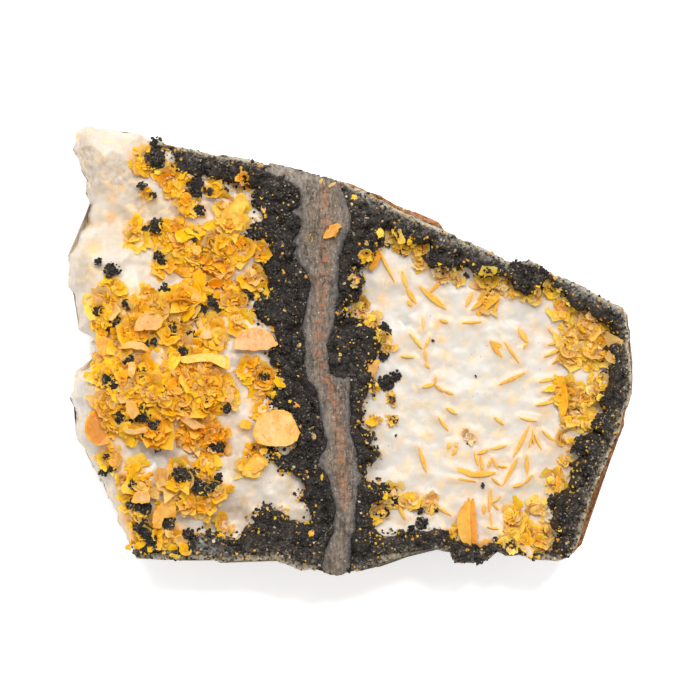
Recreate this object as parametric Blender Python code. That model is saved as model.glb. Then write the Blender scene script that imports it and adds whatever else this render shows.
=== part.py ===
"""A plate of wulfenite on calcite, about 100 mm across, lying on its back with the crystals up.

The plate is a slab of host rock that stood between two small vugs. A rib of the same rock still parts
them. Each vug is lined with a lumpy black manganese crust, holds a filling of white calcite, and carries
wulfenite in thin square tablets: crowded rosettes in the west vug, lone blades and edge rosettes in the east.
Lengths below are in millimetres and are turned to metres by MM. +X is east, +Y north, +Z out of the vugs.
"""

import math
import random

import bmesh
import bpy
from mathutils import Euler, Matrix, Vector, noise

MM = 0.001

# Driving heights above the surface that the plate rests on
ROCK_TOP = 11.0
RIB_TOP = 18.6
CRUST_FLOOR = 15.4
WEST_CALCITE = 15.6
EAST_CALCITE = 13.6
GAP = 0.35
BED_GAP = 0.45

WEST_SEAT = 7.0
FAR = 1e9
HIGH = 40.0
BLADE_ROOT = 1.2
ROSETTE_ROOT = 1.8
CROWD_DEPTH = 1.4
KEPT_SHARES = (0.6, 0.65, 0.7, 0.75, 0.8, 0.9)
LAYER_KEPT_SHARE = 0.6

# The slab's broken sides: how far each level is drawn in, and the spacing of its corners
SLAB_LEDGES = {1.6: 1.6, 4.0: 0.7, 6.6: 0.4, 9.0: 0.3, ROCK_TOP: 0.0}
SLAB_FOOT_INSET = 2.2
SLAB_STEP = 4.5
SLAB_TRIANGLES = 480
WEST_ROCK_SHRINK = 0.96
SEAT_REACH = 1.1

# Silhouette of the plate, clockwise from its south-west corner. The west side is the calcite's own edge
WEST_EDGE = [
    (-39.6, -33.0), (-41.2, -30.5), (-41.3, -28.5), (-42.4, -27.0), (-43.2, -25.0), (-44.5, -22.5),
    (-45.6, -20.4), (-46.6, -17.6), (-48.4, -15.4), (-48.8, -13.0), (-48.4, -11.0), (-49.9, -8.3),
    (-49.1, -6.3), (-48.8, -3.9), (-46.2, -3.0), (-45.8, -1.2), (-46.3, 1.4), (-46.4, 3.0),
    (-48.3, 3.7), (-48.2, 6.2), (-48.9, 9.5), (-49.8, 11.4), (-50.0, 14.0), (-49.7, 17.6),
    (-48.4, 20.0), (-46.8, 22.6), (-46.9, 24.6), (-46.0, 26.2), (-46.9, 28.2), (-46.4, 30.2),
    (-48.2, 33.6), (-49.2, 35.4), (-48.7, 36.8), (-48.7, 38.4), (-46.4, 40.0), (-44.0, 39.4), (-40.0, 38.8),
]
NORTH_WEST_EDGE = [(-36.2, 37.7), (-34.4, 37.0), (-32.8, 36.0), (-28.0, 35.2), (-21.0, 34.2), (-16.4, 33.0)]
NORTH_EAST_EDGE = [
    (-0.6, 29.2), (5.0, 26.7), (8.5, 24.6), (12.0, 22.8), (16.0, 21.1), (21.0, 18.8), (26.6, 16.2),
    (31.6, 15.8), (36.0, 13.2), (40.0, 11.5), (45.0, 8.9), (48.6, 7.0),
]
EAST_EDGE = [
    (49.3, 3.0), (48.9, 0.9), (49.8, -3.0), (49.7, -7.5), (48.4, -11.4), (47.2, -13.6), (45.4, -17.2),
    (43.2, -22.8), (41.0, -27.6), (40.0, -32.2), (39.8, -34.6), (38.4, -36.6), (35.6, -37.3),
]
SOUTH_EAST_EDGE = [
    (31.0, -36.3), (27.6, -36.0), (24.8, -36.6), (21.4, -37.6), (18.2, -37.0), (15.4, -35.6), (10.0, -35.2),
    (6.0, -36.0), (5.3, -38.3), (0.4, -39.0),
]
SOUTH_WEST_EDGE = [
    (-8.6, -38.6), (-12.6, -37.7), (-18.6, -37.0), (-22.8, -37.7), (-24.8, -37.0), (-31.0, -36.9), (-37.4, -36.9),
]

# Borders inside the silhouette, north to south unless said
WEST_CALCITE_BORDER = [
    (-37.8, 38.2), (-35.8, 35.4), (-30.6, 34.0), (-27.6, 31.8), (-24.2, 29.6), (-19.6, 29.8), (-17.2, 27.2),
    (-15.6, 23.4), (-18.2, 20.2), (-14.2, 18.6), (-15.6, 14.4), (-14.6, 10.8), (-17.2, 7.2), (-15.2, 4.6),
    (-12.9, 1.4), (-13.8, -2.0), (-12.6, -4.4), (-16.2, -8.0), (-12.4, -10.2), (-9.8, -12.4), (-9.2, -15.6),
    (-11.6, -17.2), (-13.6, -18.2), (-12.6, -21.0), (-8.2, -22.8), (-8.4, -25.4), (-6.8, -27.6), (-7.2, -30.2),
    (-12.6, -28.6), (-16.6, -27.8), (-18.2, -31.2), (-22.0, -33.6), (-26.0, -34.6), (-31.0, -35.2),
    (-38.4, -35.2),
]
RIB_WEST_SIDE = [
    (-15.2, 31.8), (-12.0, 30.2), (-10.2, 29.2), (-8.8, 26.8), (-9.4, 24.2), (-8.6, 21.6), (-9.4, 18.0),
    (-7.4, 14.2), (-7.8, 9.6), (-8.2, 3.0), (-7.6, -2.2), (-7.6, -5.0), (-5.0, -9.0), (-4.4, -15.0),
    (-5.8, -19.8), (-3.4, -22.6), (-3.0, -26.6), (-2.6, -30.8), (-3.6, -33.8), (-5.2, -36.6),
]
RIB_SOUTH_END = [(-5.6, -39.0), (-2.6, -40.0), (-0.9, -39.7)]
RIB_EAST_SIDE_NORTHWARD = [
    (-0.2, -37.0), (0.2, -33.0), (0.5, -28.4), (1.4, -24.6), (1.3, -20.4), (0.8, -16.0), (0.1, -12.6),
    (-0.2, -9.2), (-0.2, -5.2), (-3.8, -3.6), (-4.0, 1.2), (-3.0, 5.6), (-2.6, 9.6), (-2.2, 15.0),
    (-0.8, 19.6), (0.2, 23.6), (-1.0, 26.6),
]
RIB_NORTH_END_EASTWARD = [(-14.2, 33.1), (-9.6, 32.2), (-6.0, 30.9), (-3.2, 30.4), (-1.6, 29.6)]
RUSTY_LIP = [(-0.4, 29.6), (5.4, 27.2), (8.8, 25.2), (11.0, 24.4), (13.0, 23.6), (15.6, 22.3), (16.2, 21.2)]
EAST_LEDGE = [
    (49.6, 3.0), (49.3, 0.9), (50.0, -3.0), (50.0, -7.5), (48.9, -11.4), (48.4, -13.4), (46.6, -17.6),
    (44.4, -23.2), (42.2, -28.4), (41.2, -32.4), (40.8, -34.6),
]
EAST_POCKET = [
    (0.6, 7.4), (2.8, 10.4), (2.4, 13.8), (5.0, 15.6), (5.2, 19.4), (8.4, 19.2), (11.4, 17.6), (13.6, 14.6),
    (17.0, 14.2), (20.4, 14.6), (22.4, 13.2), (27.2, 13.4), (29.4, 10.6), (33.6, 11.2), (36.6, 11.6),
    (38.0, 8.6), (41.6, 7.0), (45.2, 4.6), (46.6, 2.8), (45.8, -2.2), (45.6, -6.2), (43.6, -8.8),
    (44.8, -11.4), (42.2, -13.2), (43.0, -15.0), (39.4, -15.8), (38.8, -18.2), (40.6, -19.2), (38.4, -22.4),
    (38.8, -25.2), (35.6, -25.6), (36.4, -29.6), (36.2, -33.2), (34.2, -35.2), (31.0, -35.0), (28.6, -34.4),
    (26.2, -33.2), (22.4, -34.4), (19.0, -34.0), (17.2, -31.6), (13.6, -32.2), (9.6, -32.8), (6.2, -34.0),
    (3.6, -32.6), (3.4, -27.6), (5.4, -25.8), (3.0, -22.6), (2.6, -20.6), (4.8, -18.2), (3.4, -15.4),
    (1.8, -12.4), (2.4, -8.8), (3.6, -5.4), (3.4, -1.8), (5.4, 0.4), (5.2, 4.4), (2.6, 5.2),
]

# Swellings of the west calcite under its rosettes, and its hollows: x, y, radius, height
WEST_SWELLINGS = [
    (-43.5, 34.5, 6.5, 2.4), (-45.4, 15.5, 6.0, 1.8), (-28.0, 23.5, 8.5, 1.6), (-39.0, 6.0, 8.0, 2.6),
    (-38.5, -8.0, 8.5, 3.6), (-26.0, -6.5, 8.0, 3.8), (-27.0, -23.5, 6.0, 2.4), (-38.5, -24.5, 6.0, 1.4),
    (-18.5, 20.5, 5.0, 1.6), (-16.5, 1.0, 5.0, 1.6), (-13.5, -14.0, 5.5, 1.8), (-16.0, -21.0, 5.0, 0.8),
    (-40.0, 24.0, 4.0, -1.8), (-35.5, -19.5, 3.0, -1.6), (-21.5, -30.5, 3.5, -1.4),
]

# Rosettes of wulfenite tablets. A group is one grown-together mass, and each rosette in it is
# x, y, radius, height above the calcite, and its number of tablets
ROSETTES = {
    "wulfenite_north_rim": [(-35.6, 32.6, 3.4, 2.4, 7), (-32.6, 31.6, 2.0, 2.0, 5)],
    "wulfenite_north_middle": [(-29.4, 26.8, 3.2, 2.4, 7), (-26.2, 27.4, 2.6, 2.2, 6)],
    "wulfenite_upper_mass": [
        (-37.4, 20.4, 2.8, 2.4, 5), (-32.6, 19.6, 4.2, 3.2, 7), (-26.2, 18.8, 4.2, 3.2, 7), (-32.8, 14.8, 3.0, 2.8, 5),
        (-25.4, 13.2, 3.4, 3.0, 6),
    ],
    "wulfenite_fan": [(-20.6, 24.0, 3.8, 3.2, 7)],
    "wulfenite_east_shoulder": [(-18.6, 16.0, 3.0, 2.4, 6), (-19.0, 11.6, 3.6, 2.6, 7)],
    "wulfenite_middle_mass": [
        (-42.2, 5.2, 4.6, 2.8, 7), (-35.6, 5.4, 4.4, 3.2, 7), (-27.6, 5.2, 4.6, 3.2, 7), (-31.8, -0.8, 4.4, 3.6, 7),
        (-41.0, -4.8, 4.6, 3.6, 7), (-34.6, -7.2, 4.6, 4.0, 7), (-26.6, -5.8, 4.8, 4.0, 8), (-39.2, -12.2, 4.4, 3.4, 7),
        (-32.2, -13.6, 4.2, 3.4, 6), (-25.6, -14.0, 4.4, 3.4, 7),
    ],
    "wulfenite_west_tablets": [(-44.6, -14.8, 2.0, 2.6, 6)],
    "wulfenite_south_west": [(-38.8, -23.2, 2.8, 2.4, 6), (-37.6, -27.4, 2.8, 2.4, 6), (-36.4, -31.8, 2.6, 2.0, 6)],
    "wulfenite_south_rosette": [(-30.0, -23.2, 3.8, 2.8, 7), (-25.4, -23.8, 3.8, 3.0, 7)],
    "wulfenite_south_fan": [(-31.8, -31.4, 3.8, 2.6, 8)],
    "wulfenite_rib_foot": [(-16.2, -4.4, 3.0, 2.4, 7)],
    "wulfenite_south_middle": [(-17.2, -20.6, 2.8, 1.8, 6)],
    "wulfenite_east_rosette": [(40.0, 3.0, 4.2, 2.6, 9), (42.6, -0.6, 3.0, 2.2, 7)],
    "wulfenite_east_middle": [(38.2, -7.8, 2.6, 1.8, 6), (41.0, -10.6, 3.0, 2.0, 7)],
    "wulfenite_east_side": [(36.8, -22.2, 2.4, 1.6, 6)],
    "wulfenite_south_east": [(33.2, -27.8, 2.6, 1.8, 6), (31.2, -31.6, 3.4, 2.0, 8)],
    "wulfenite_north_pocket": [(9.6, 16.7, 2.1, 1.6, 6)],
    "wulfenite_north_east": [(25.0, 10.4, 3.0, 1.8, 7)],
    "wulfenite_south_pocket": [(9.4, -26.8, 2.2, 1.4, 5), (12.8, -26.4, 2.2, 1.6, 6)],
}

# Where small crystals crowd so close that they hide the calcite under two of the groups
CROWDS = {
    "wulfenite_middle_mass": [
        (-46.0, 7.6), (-43.4, 10.0), (-38.0, 8.8), (-31.0, 9.6), (-26.0, 8.0), (-21.6, 5.4), (-21.6, 0.6),
        (-22.0, -2.6), (-19.6, -5.6), (-21.4, -11.0), (-22.0, -17.0), (-26.0, -18.6), (-30.0, -16.4), (-36.0, -15.8),
        (-41.6, -14.6), (-43.8, -10.8), (-45.6, -6.6), (-43.8, -1.6), (-44.2, 2.6),
    ],
    "wulfenite_upper_mass": [
        (-39.6, 21.0), (-37.0, 22.6), (-31.0, 23.2), (-24.6, 22.4), (-22.6, 18.6), (-22.2, 12.6), (-25.6, 10.6),
        (-29.4, 12.6), (-34.8, 12.4), (-36.2, 17.4), (-39.4, 18.4),
    ],
}
CROWD_BOX = (-52.6, -11.0, -35.2, 40.4)

# Large lone tablets: x, y, height of the middle above what they rest on, side along the bearing, side
# across it, thickness, then tilt, roll and bearing in degrees
TABLETS = {
    "tablet_peach_upper": (-16.8, 2.0, 1.3, 7.4, 4.2, 0.9, 12, -8, 4),
    "tablet_peach_lower": (-13.2, -13.8, 1.2, 7.0, 5.4, 1.0, 9, -9, -10),
    "tablet_orange_standing": (20.6, -30.4, 1.0, 8.8, 3.6, 0.8, 0, 42, 94),
    "tablet_pale_rib": (4.9, -2.8, 0.9, 3.0, 2.0, 0.7, 18, 0, 80),
    "tablet_on_rib": (-3.4, 21.0, 0.8, 3.6, 2.0, 0.6, 16, 6, 45),
}

# Blades standing in the east calcite, each seen on edge: two ends, how far it stands up, and its thickness
BLADES = {
    "blade_01": ((9.2, 14.0), (12.0, 7.6), 1.3, 0.7),
    "blade_02": ((12.2, 11.4), (17.0, 7.2), 1.3, 0.7),
    "blade_03": ((5.4, 17.4), (7.6, 12.2), 1.0, 0.6),
    "blade_04": ((10.6, 2.8), (13.2, 0.2), 1.0, 0.6),
    "blade_05": ((19.8, 4.8), (23.6, 5.2), 1.2, 0.7),
    "blade_06": ((24.8, 1.6), (26.8, -1.2), 1.2, 0.7),
    "blade_07": ((27.4, 1.4), (29.8, -2.4), 1.0, 0.6),
    "blade_08": ((29.6, 3.8), (31.4, 0.8), 1.1, 0.7),
    "blade_09": ((26.6, -6.0), (31.0, -4.0), 1.2, 0.6),
    "blade_10": ((12.2, -17.6), (13.6, -21.4), 1.1, 0.6),
    "blade_11": ((18.4, -21.0), (25.4, -22.0), 1.6, 0.9),
    "blade_12": ((17.0, -22.8), (22.4, -23.4), 1.0, 0.6),
    "blade_13": ((22.8, -18.4), (27.4, -17.0), 1.3, 0.7),
    "blade_14": ((31.8, -13.6), (28.8, -18.8), 1.3, 0.7),
    "blade_15": ((29.6, -19.2), (27.0, -24.0), 1.3, 0.7),
    "blade_16": ((31.4, -18.4), (31.2, -22.0), 1.1, 0.7),
    "blade_17": ((28.8, -24.2), (32.4, -22.2), 1.2, 0.6),
    "blade_18": ((24.9, -24.8), (24.6, -28.4), 1.1, 0.6),
}

# Knobs of black crust that stand on the calcite or hang over an edge: x, y, z, radius
KNOBS = {
    "knob_pair_east_calcite": [(6.2, -5.6, 14.8, 1.5), (7.9, -4.8, 14.8, 1.2)],
    "knob_south_calcite": [(12.6, -30.6, 14.6, 1.3), (10.9, -31.2, 14.4, 0.8)],
}

# Larger lumps on the crusts' rims, in the same order
EAST_RIM_LUMPS = [
    (16.6, 16.0, 16.0, 2.0), (24.4, 14.6, 15.8, 1.8), (31.4, 12.4, 15.8, 1.8), (41.4, -16.8, 15.8, 2.0),
    (3.4, 17.8, 16.0, 1.8), (0.6, 12.2, 16.0, 1.4), (44.6, -13.4, 15.6, 1.5), (39.4, -27.2, 15.8, 1.8),
    (11.8, -34.0, 15.0, 1.6), (19.2, -36.0, 14.4, 1.8), (23.4, -36.0, 14.4, 1.5), (28.4, -35.4, 14.8, 1.4),
]
WEST_RIM_LUMPS = [
    (-11.6, 0.6, 16.4, 1.7), (-7.9, -12.6, 17.2, 1.4), (-12.6, 26.0, 16.0, 1.6), (-11.0, 14.8, 16.2, 1.7),
    (-8.6, -28.6, 16.0, 1.6), (-13.4, -32.0, 15.6, 1.8),
]


def metres(x, y, z=0.0):
    return Vector((x, y, z)) * MM


def material(name, colour, roughness):
    made = bpy.data.materials.new(name)
    made.use_nodes = True
    shader = made.node_tree.nodes["Principled BSDF"]
    shader.inputs["Base Color"].default_value = (*colour, 1.0)
    shader.inputs["Roughness"].default_value = roughness
    shader.inputs["Metallic"].default_value = 0.0
    made.diffuse_color = (*colour, 1.0)
    return made


def new_object(name, mesh, collection, finish=None):
    made = bpy.data.objects.new(name, mesh)
    collection.objects.link(made)
    if finish is not None:
        made.data.materials.append(finish)
    if collection == cutters:
        made.hide_render = True
        made.display_type = "WIRE"
    return made


def applied(obj):
    """Turns the object's modifiers into its mesh."""
    bpy.context.view_layer.update()
    graph = bpy.context.evaluated_depsgraph_get()
    mesh = bpy.data.meshes.new_from_object(obj.evaluated_get(graph))
    obj.modifiers.clear()
    old = obj.data
    obj.data = mesh
    bpy.data.meshes.remove(old)
    return obj


def is_closed(obj):
    bm = bmesh.new()
    bm.from_mesh(obj.data)
    closed = len(bm.faces) > 0 and all(edge.is_manifold for edge in bm.edges)
    bm.free()
    return closed


def boolean(obj, other, operation):
    """Cuts or joins with the exact solver, and with the manifold one only where that leaves a broken mesh."""
    before = obj.data.copy()
    for solver in ("EXACT", "MANIFOLD"):
        step = obj.modifiers.new(operation.lower(), "BOOLEAN")
        step.operation = operation
        step.object = other
        step.solver = solver
        applied(obj)
        if is_closed(obj):
            break
        if solver == "EXACT":
            obj.data = before.copy()
    return obj


def thinned(obj, triangles):
    """Collapses the finest edges until about this many triangles are left."""
    now = sum(len(face.vertices) - 2 for face in obj.data.polygons)
    if now > triangles:
        step = obj.modifiers.new("thinned", "DECIMATE")
        step.ratio = triangles / now
        applied(obj)
    return obj


def edit(obj, work):
    bm = bmesh.new()
    bm.from_mesh(obj.data)
    work(bm)
    bm.to_mesh(obj.data)
    bm.free()
    obj.data.update()
    return obj


def largest_body(obj):
    """Drops the crumbs that a cut leaves beside the main body."""

    def work(bm):
        bmesh.ops.remove_doubles(bm, verts=bm.verts, dist=0.002 * MM)
        bm.verts.ensure_lookup_table()
        seen, islands = set(), []
        for start in bm.verts:
            if start in seen:
                continue
            island, stack = [], [start]
            seen.add(start)
            while stack:
                vertex = stack.pop()
                island.append(vertex)
                for edge in vertex.link_edges:
                    other = edge.other_vert(vertex)
                    if other not in seen:
                        seen.add(other)
                        stack.append(other)
            islands.append(island)
        islands.sort(key=len, reverse=True)
        crumbs = [vertex for island in islands[1:] for vertex in island]
        bmesh.ops.delete(bm, geom=crumbs, context="VERTS")

    return edit(obj, work)


def tidied(obj, least=0.0):
    """The main body, with the slivers that cuts leave collapsed away as far as it stays closed."""
    largest_body(obj)
    edit(obj, lambda bm: bmesh.ops.triangulate(bm, faces=bm.faces))
    whole = obj.data.copy()
    for kept in KEPT_SHARES:
        if kept < least:
            continue
        thinned(obj, len(whole.polygons) * kept)
        if is_closed(obj):
            break
        obj.data = whole.copy()
    return obj


def signed_area(outline):
    pairs = zip(outline, outline[1:] + outline[:1])
    return sum(a[0] * b[1] - b[0] * a[1] for a, b in pairs) / 2


def moved_in(outline, distance):
    """The outline with each point moved inwards, or outwards where distance is negative."""
    side = 1 if signed_area(outline) > 0 else -1
    moved = []
    count = len(outline)
    for i, point in enumerate(outline):
        before, here, after = Vector(outline[i - 1]), Vector(point), Vector(outline[(i + 1) % count])
        first, second = (here - before).normalized(), (after - here).normalized()
        first_inward = Vector((-first.y, first.x)) * side
        inward = (first_inward + Vector((-second.y, second.x)) * side).normalized()
        moved.append(tuple(here + inward * distance / max(0.5, inward.dot(first_inward))))
    return moved


def outline_block(name, outline, low, high, collection):
    """A straight-sided block of this outline, made as a filled and extruded 2D curve."""
    curve = bpy.data.curves.new(name, "CURVE")
    curve.dimensions = "2D"
    curve.fill_mode = "BOTH"
    curve.extrude = (high - low) / 2 * MM
    line = curve.splines.new("POLY")
    line.points.add(len(outline) - 1)
    for point, (x, y) in zip(line.points, outline):
        point.co = (x * MM, y * MM, 0.0, 1.0)
    line.use_cyclic_u = True
    shape = bpy.data.objects.new(name + "_outline", curve)
    cutters.objects.link(shape)
    bpy.context.view_layer.update()
    graph = bpy.context.evaluated_depsgraph_get()
    mesh = bpy.data.meshes.new_from_object(shape.evaluated_get(graph))
    bpy.data.objects.remove(shape)
    mesh.transform(Matrix.Translation((0, 0, (low + high) / 2 * MM)))

    def weld(bm):
        bmesh.ops.remove_doubles(bm, verts=bm.verts, dist=0.001 * MM)
        bmesh.ops.recalc_face_normals(bm, faces=bm.faces)

    return edit(new_object(name, mesh, collection), weld)


def relief_block(name, corner, opposite, cell, low, surface, collection):
    """A block whose top is a grid lifted to surface(x, y), with straight sides and a flat bottom."""
    width, depth = opposite[0] - corner[0], opposite[1] - corner[1]
    bm = bmesh.new()
    columns, rows = round(width / cell), round(depth / cell)
    bmesh.ops.create_grid(bm, x_segments=columns, y_segments=rows, size=0.5)
    for vertex in bm.verts:
        x = corner[0] + (vertex.co.x + 0.5) * width
        y = corner[1] + (vertex.co.y + 0.5) * depth
        vertex.co = metres(x, y, surface(x, y))
    rim = [edge for edge in bm.edges if edge.is_boundary]
    walls = bmesh.ops.extrude_edge_only(bm, edges=rim)["geom"]
    for item in walls:
        if isinstance(item, bmesh.types.BMVert):
            item.co.z = low * MM
    open_edges = [edge for edge in bm.edges if edge.is_boundary]
    bmesh.ops.edgeloop_fill(bm, edges=open_edges)
    bmesh.ops.recalc_face_normals(bm, faces=bm.faces)
    mesh = bpy.data.meshes.new(name)
    bm.to_mesh(mesh)
    bm.free()
    return new_object(name, mesh, collection)


def distance_to(line, x, y, closed=False):
    """Distance from a point to a run of straight segments."""
    ends = line + line[:1] if closed else line
    nearest = FAR
    for (ax, ay), (bx, by) in zip(ends, ends[1:]):
        run_x, run_y = bx - ax, by - ay
        length = run_x * run_x + run_y * run_y
        share = max(0.0, min(1.0, ((x - ax) * run_x + (y - ay) * run_y) / length))
        nearest = min(nearest, math.hypot(x - ax - share * run_x, y - ay - share * run_y))
    return nearest


def rough(x, y, wavelength, seed=0.0):
    """Smooth noise from about -1 to 1, with features this many millimetres across."""
    return noise.noise(Vector((x / wavelength, y / wavelength, seed)))


def lumps(x, y, spacing, seed=0.0):
    """Rounded lumps from 0 to 1, one to each cell of about this spacing, as on a botryoidal crust."""
    nearest = noise.voronoi(Vector((x / spacing, y / spacing, seed)))[0][0]
    return math.sqrt(max(0.0, 1.0 - min(1.0, nearest * 1.2) ** 2))


def west_calcite_surface(x, y):
    """The west filling swells under its rosettes and rolls over at the plate's west edge."""
    height = WEST_CALCITE + 0.7 * rough(x, y, 6.0, 3.0) + 0.4 * rough(x, y, 2.6, 7.0)
    for cx, cy, radius, rise in WEST_SWELLINGS:
        height += rise * math.exp(-((x - cx) ** 2 + (y - cy) ** 2) / (radius * radius))
    return height - 5.0 * math.exp(-distance_to(WEST_EDGE, x, y) / 1.6)


def east_calcite_surface(x, y):
    """The east filling is almost level and climbs a little to the crust round it."""
    climb = 0.9 * math.exp(-distance_to(EAST_POCKET, x, y, closed=True) / 1.5)
    return EAST_CALCITE + 0.5 * rough(x, y, 5.0, 11.0) + 0.25 * rough(x, y, 2.2, 13.0) + climb


def crust_surface(x, y):
    """The black crust climbs to the rib and the north and east rims, and droops at the south rim."""
    to_rib = min(distance_to(RIB_WEST_SIDE, x, y), distance_to(RIB_EAST_SIDE_NORTHWARD, x, y))
    to_rim = min(distance_to(line, x, y) for line in (NORTH_WEST_EDGE, NORTH_EAST_EDGE, EAST_EDGE))
    to_south = min(distance_to(line, x, y) for line in (SOUTH_WEST_EDGE, SOUTH_EAST_EDGE))
    climb = 1.9 * math.exp(-to_rib / 2.2) + 0.9 * math.exp(-to_rim / 3.0)
    droop = 2.4 * math.exp(-to_south / 1.6) + 1.2 * math.exp(-to_rim / 0.8)
    return CRUST_FLOOR + climb - droop + 1.1 * lumps(x, y, 3.4) + 0.5 * lumps(x, y, 1.8, 5.0)


def rib_surface(x, y):
    """The rib's broken top has a grain along its length and slumps at both ends."""
    grain = 0.35 * rough(x * 2.4, y * 0.5, 3.0, 17.0)
    slump = 2.4 * math.exp(-(y + 40.0) / 3.5) + 1.6 * math.exp(-(33.0 - y) / 2.5)
    return RIB_TOP + grain + 0.5 * rough(x, y, 4.0, 19.0) - slump


def broken_slab(name, outline, high, collection):
    """The slab of rock: its outline drawn in and out by broken ledges on the way down to a flat foot."""
    finer = []
    for (ax, ay), (bx, by) in zip(outline, outline[1:] + outline[:1]):
        steps = max(1, round(math.hypot(bx - ax, by - ay) / SLAB_STEP))
        finer += [(ax + (bx - ax) * i / steps, ay + (by - ay) * i / steps) for i in range(steps)]
    slab = outline_block(name, finer, 0.0, high, collection)

    def break_sides(bm):
        for level in SLAB_LEDGES:
            cut = metres(0, 0, level)
            everything = bm.verts[:] + bm.edges[:] + bm.faces[:]
            bmesh.ops.bisect_plane(bm, geom=everything, plane_co=cut, plane_no=(0, 0, 1), dist=1e-7)
        for vertex in bm.verts:
            x, y, z = vertex.co / MM
            reach = math.hypot(x, y)
            foot = min((level, inset) for level, inset in SLAB_LEDGES.items() if level >= z - 0.01)
            drawn_in = foot[1] if z > 0.01 else SLAB_FOOT_INSET
            if z < high - 0.01:
                drawn_in += 1.6 * rough(x, y, 7.0, z * 3.1) + 0.7 * rough(x, y, 2.8, z * 5.3) + 1.2
            vertex.co.x *= 1 - drawn_in / reach
            vertex.co.y *= 1 - drawn_in / reach

    return edit(slab, break_sides)


def ball_shapes(name, balls):
    """Balls of black crust, flattened a little and grown together."""
    rng = random.Random(name + " balls")
    shapes = []
    for index, (x, y, z, radius) in enumerate(balls):
        bm = bmesh.new()
        squash = Matrix.Diagonal((1.0, rng.uniform(0.85, 1.0), rng.uniform(0.75, 0.95), 1.0))
        turn = Matrix.Rotation(rng.uniform(0, math.pi), 4, "Z")
        place = Matrix.Translation(metres(x, y, z)) @ turn @ squash
        bmesh.ops.create_icosphere(bm, subdivisions=1, radius=radius * MM, matrix=place)
        mesh = bpy.data.meshes.new(f"{name}_{index}")
        bm.to_mesh(mesh)
        bm.free()
        shapes.append(new_object(f"{name}_{index}", mesh, cutters))
    return shapes


def tablet(name, side_along, side_across, thickness, place, chamfer=0.0):
    """A square tablet of wulfenite lying flat before it is placed, its four corners cut by the chamfer."""
    bm = bmesh.new()
    size = Matrix.Diagonal((side_along * MM, side_across * MM, thickness * MM, 1.0))
    bmesh.ops.create_cube(bm, size=1.0, matrix=size)
    if chamfer:
        corners = [edge for edge in bm.edges if abs(edge.verts[0].co.z - edge.verts[1].co.z) > 0.1 * MM]
        bmesh.ops.bevel(
            bm, geom=corners, offset=chamfer * MM, segments=1, profile=0.5, affect="EDGES", material=-1
        )
    bmesh.ops.transform(bm, matrix=place, verts=bm.verts)
    mesh = bpy.data.meshes.new(name)
    bm.to_mesh(mesh)
    bm.free()
    return new_object(name, mesh, cutters)


def rosette(name, x, y, radius, height, arms, floor, rng):
    """A rosette of tablets standing on edge: each arm is one tablet, and the arms differ in reach and rise."""
    outline, tops = [], []
    start = rng.uniform(0, math.tau)
    for arm in range(arms):
        bearing = start + (arm + rng.uniform(-0.22, 0.22)) * math.tau / arms
        reach = radius * rng.uniform(0.82, 1.0)
        rise = height * rng.uniform(0.7, 1.0)
        half = rng.uniform(0.3, 0.42)
        along, across = (math.cos(bearing), math.sin(bearing)), (-math.sin(bearing), math.cos(bearing))
        for side in (-half, half):
            outline.append((x + reach * along[0] + side * across[0], y + reach * along[1] + side * across[1]))
            tops.append(floor + rise)
        valley = start + (arm + 0.5) * math.tau / arms
        hub = radius * rng.uniform(0.22, 0.3)
        outline.append((x + hub * math.cos(valley), y + hub * math.sin(valley)))
        tops.append(floor + height * rng.uniform(0.5, 0.9))
    star = outline_block(name, outline, floor - ROSETTE_ROOT, floor, cutters)

    def lift(bm):
        for vertex in bm.verts:
            if vertex.co.z > (floor - 0.01) * MM:
                nearest = min(range(len(outline)), key=lambda i: (vertex.co.xy / MM - Vector(outline[i])).length)
                vertex.co.z = tops[nearest] * MM

    return edit(star, lift)


def joined(name, shapes, finish):
    """One body of all the shapes, by a Boolean union."""
    operands = bpy.data.collections.new(name + "_operands")
    cutters.children.link(operands)
    first, others = shapes[0], shapes[1:]
    for shape in others:
        cutters.objects.unlink(shape)
        operands.objects.link(shape)
    body = new_object(name, first.data.copy(), model, finish)
    if others:
        step = body.modifiers.new("grown together", "BOOLEAN")
        step.operation = "UNION"
        step.operand_type = "COLLECTION"
        step.collection = operands
        step.solver = "EXACT"
        applied(body)
    for shape in shapes:
        bpy.data.objects.remove(shape)
    bpy.data.collections.remove(operands)
    return body


def rosette_group(name, rosettes, surface, resting_on, finish):
    """Grown-together rosettes, with the crowd of small crystals under them, cut off by what they rest on."""
    rng = random.Random(name)
    shapes = []
    if name in CROWDS:

        def crowd_top(x, y):
            return surface(x, y) + CROWD_DEPTH

        west, east, south, north = CROWD_BOX
        crowd = relief_block(name + "_crowd", (west, south), (east, north), 2.7, WEST_SEAT, crowd_top, cutters)
        sides = outline_block(name + "_crowd_sides", CROWDS[name], 0.0, HIGH, cutters)
        boolean(crowd, sides, "INTERSECT")
        shapes.append(crowd)
    for number, (x, y, radius, height, arms) in enumerate(rosettes):
        shapes.append(rosette(f"{name}_{number}", x, y, radius, height, arms, surface(x, y), rng))
    body = joined(name, shapes, finish)
    for bed in resting_on:
        boolean(body, bed, "DIFFERENCE")
    return tidied(body)


for leftover in list(bpy.data.objects):
    bpy.data.objects.remove(leftover)
model = bpy.data.collections.new("wulfenite_specimen")
cutters = bpy.data.collections.new("cutters")
bpy.context.scene.collection.children.link(model)
bpy.context.scene.collection.children.link(cutters)

rock = material("rock", (0.16, 0.12, 0.095), 0.85)
black_crust = material("black_crust", (0.025, 0.024, 0.025), 0.55)
calcite = material("calcite", (0.84, 0.79, 0.72), 0.5)
wulfenite = material("wulfenite", (0.92, 0.46, 0.03), 0.3)
peach_wulfenite = material("peach_wulfenite", (0.95, 0.62, 0.33), 0.3)

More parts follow.
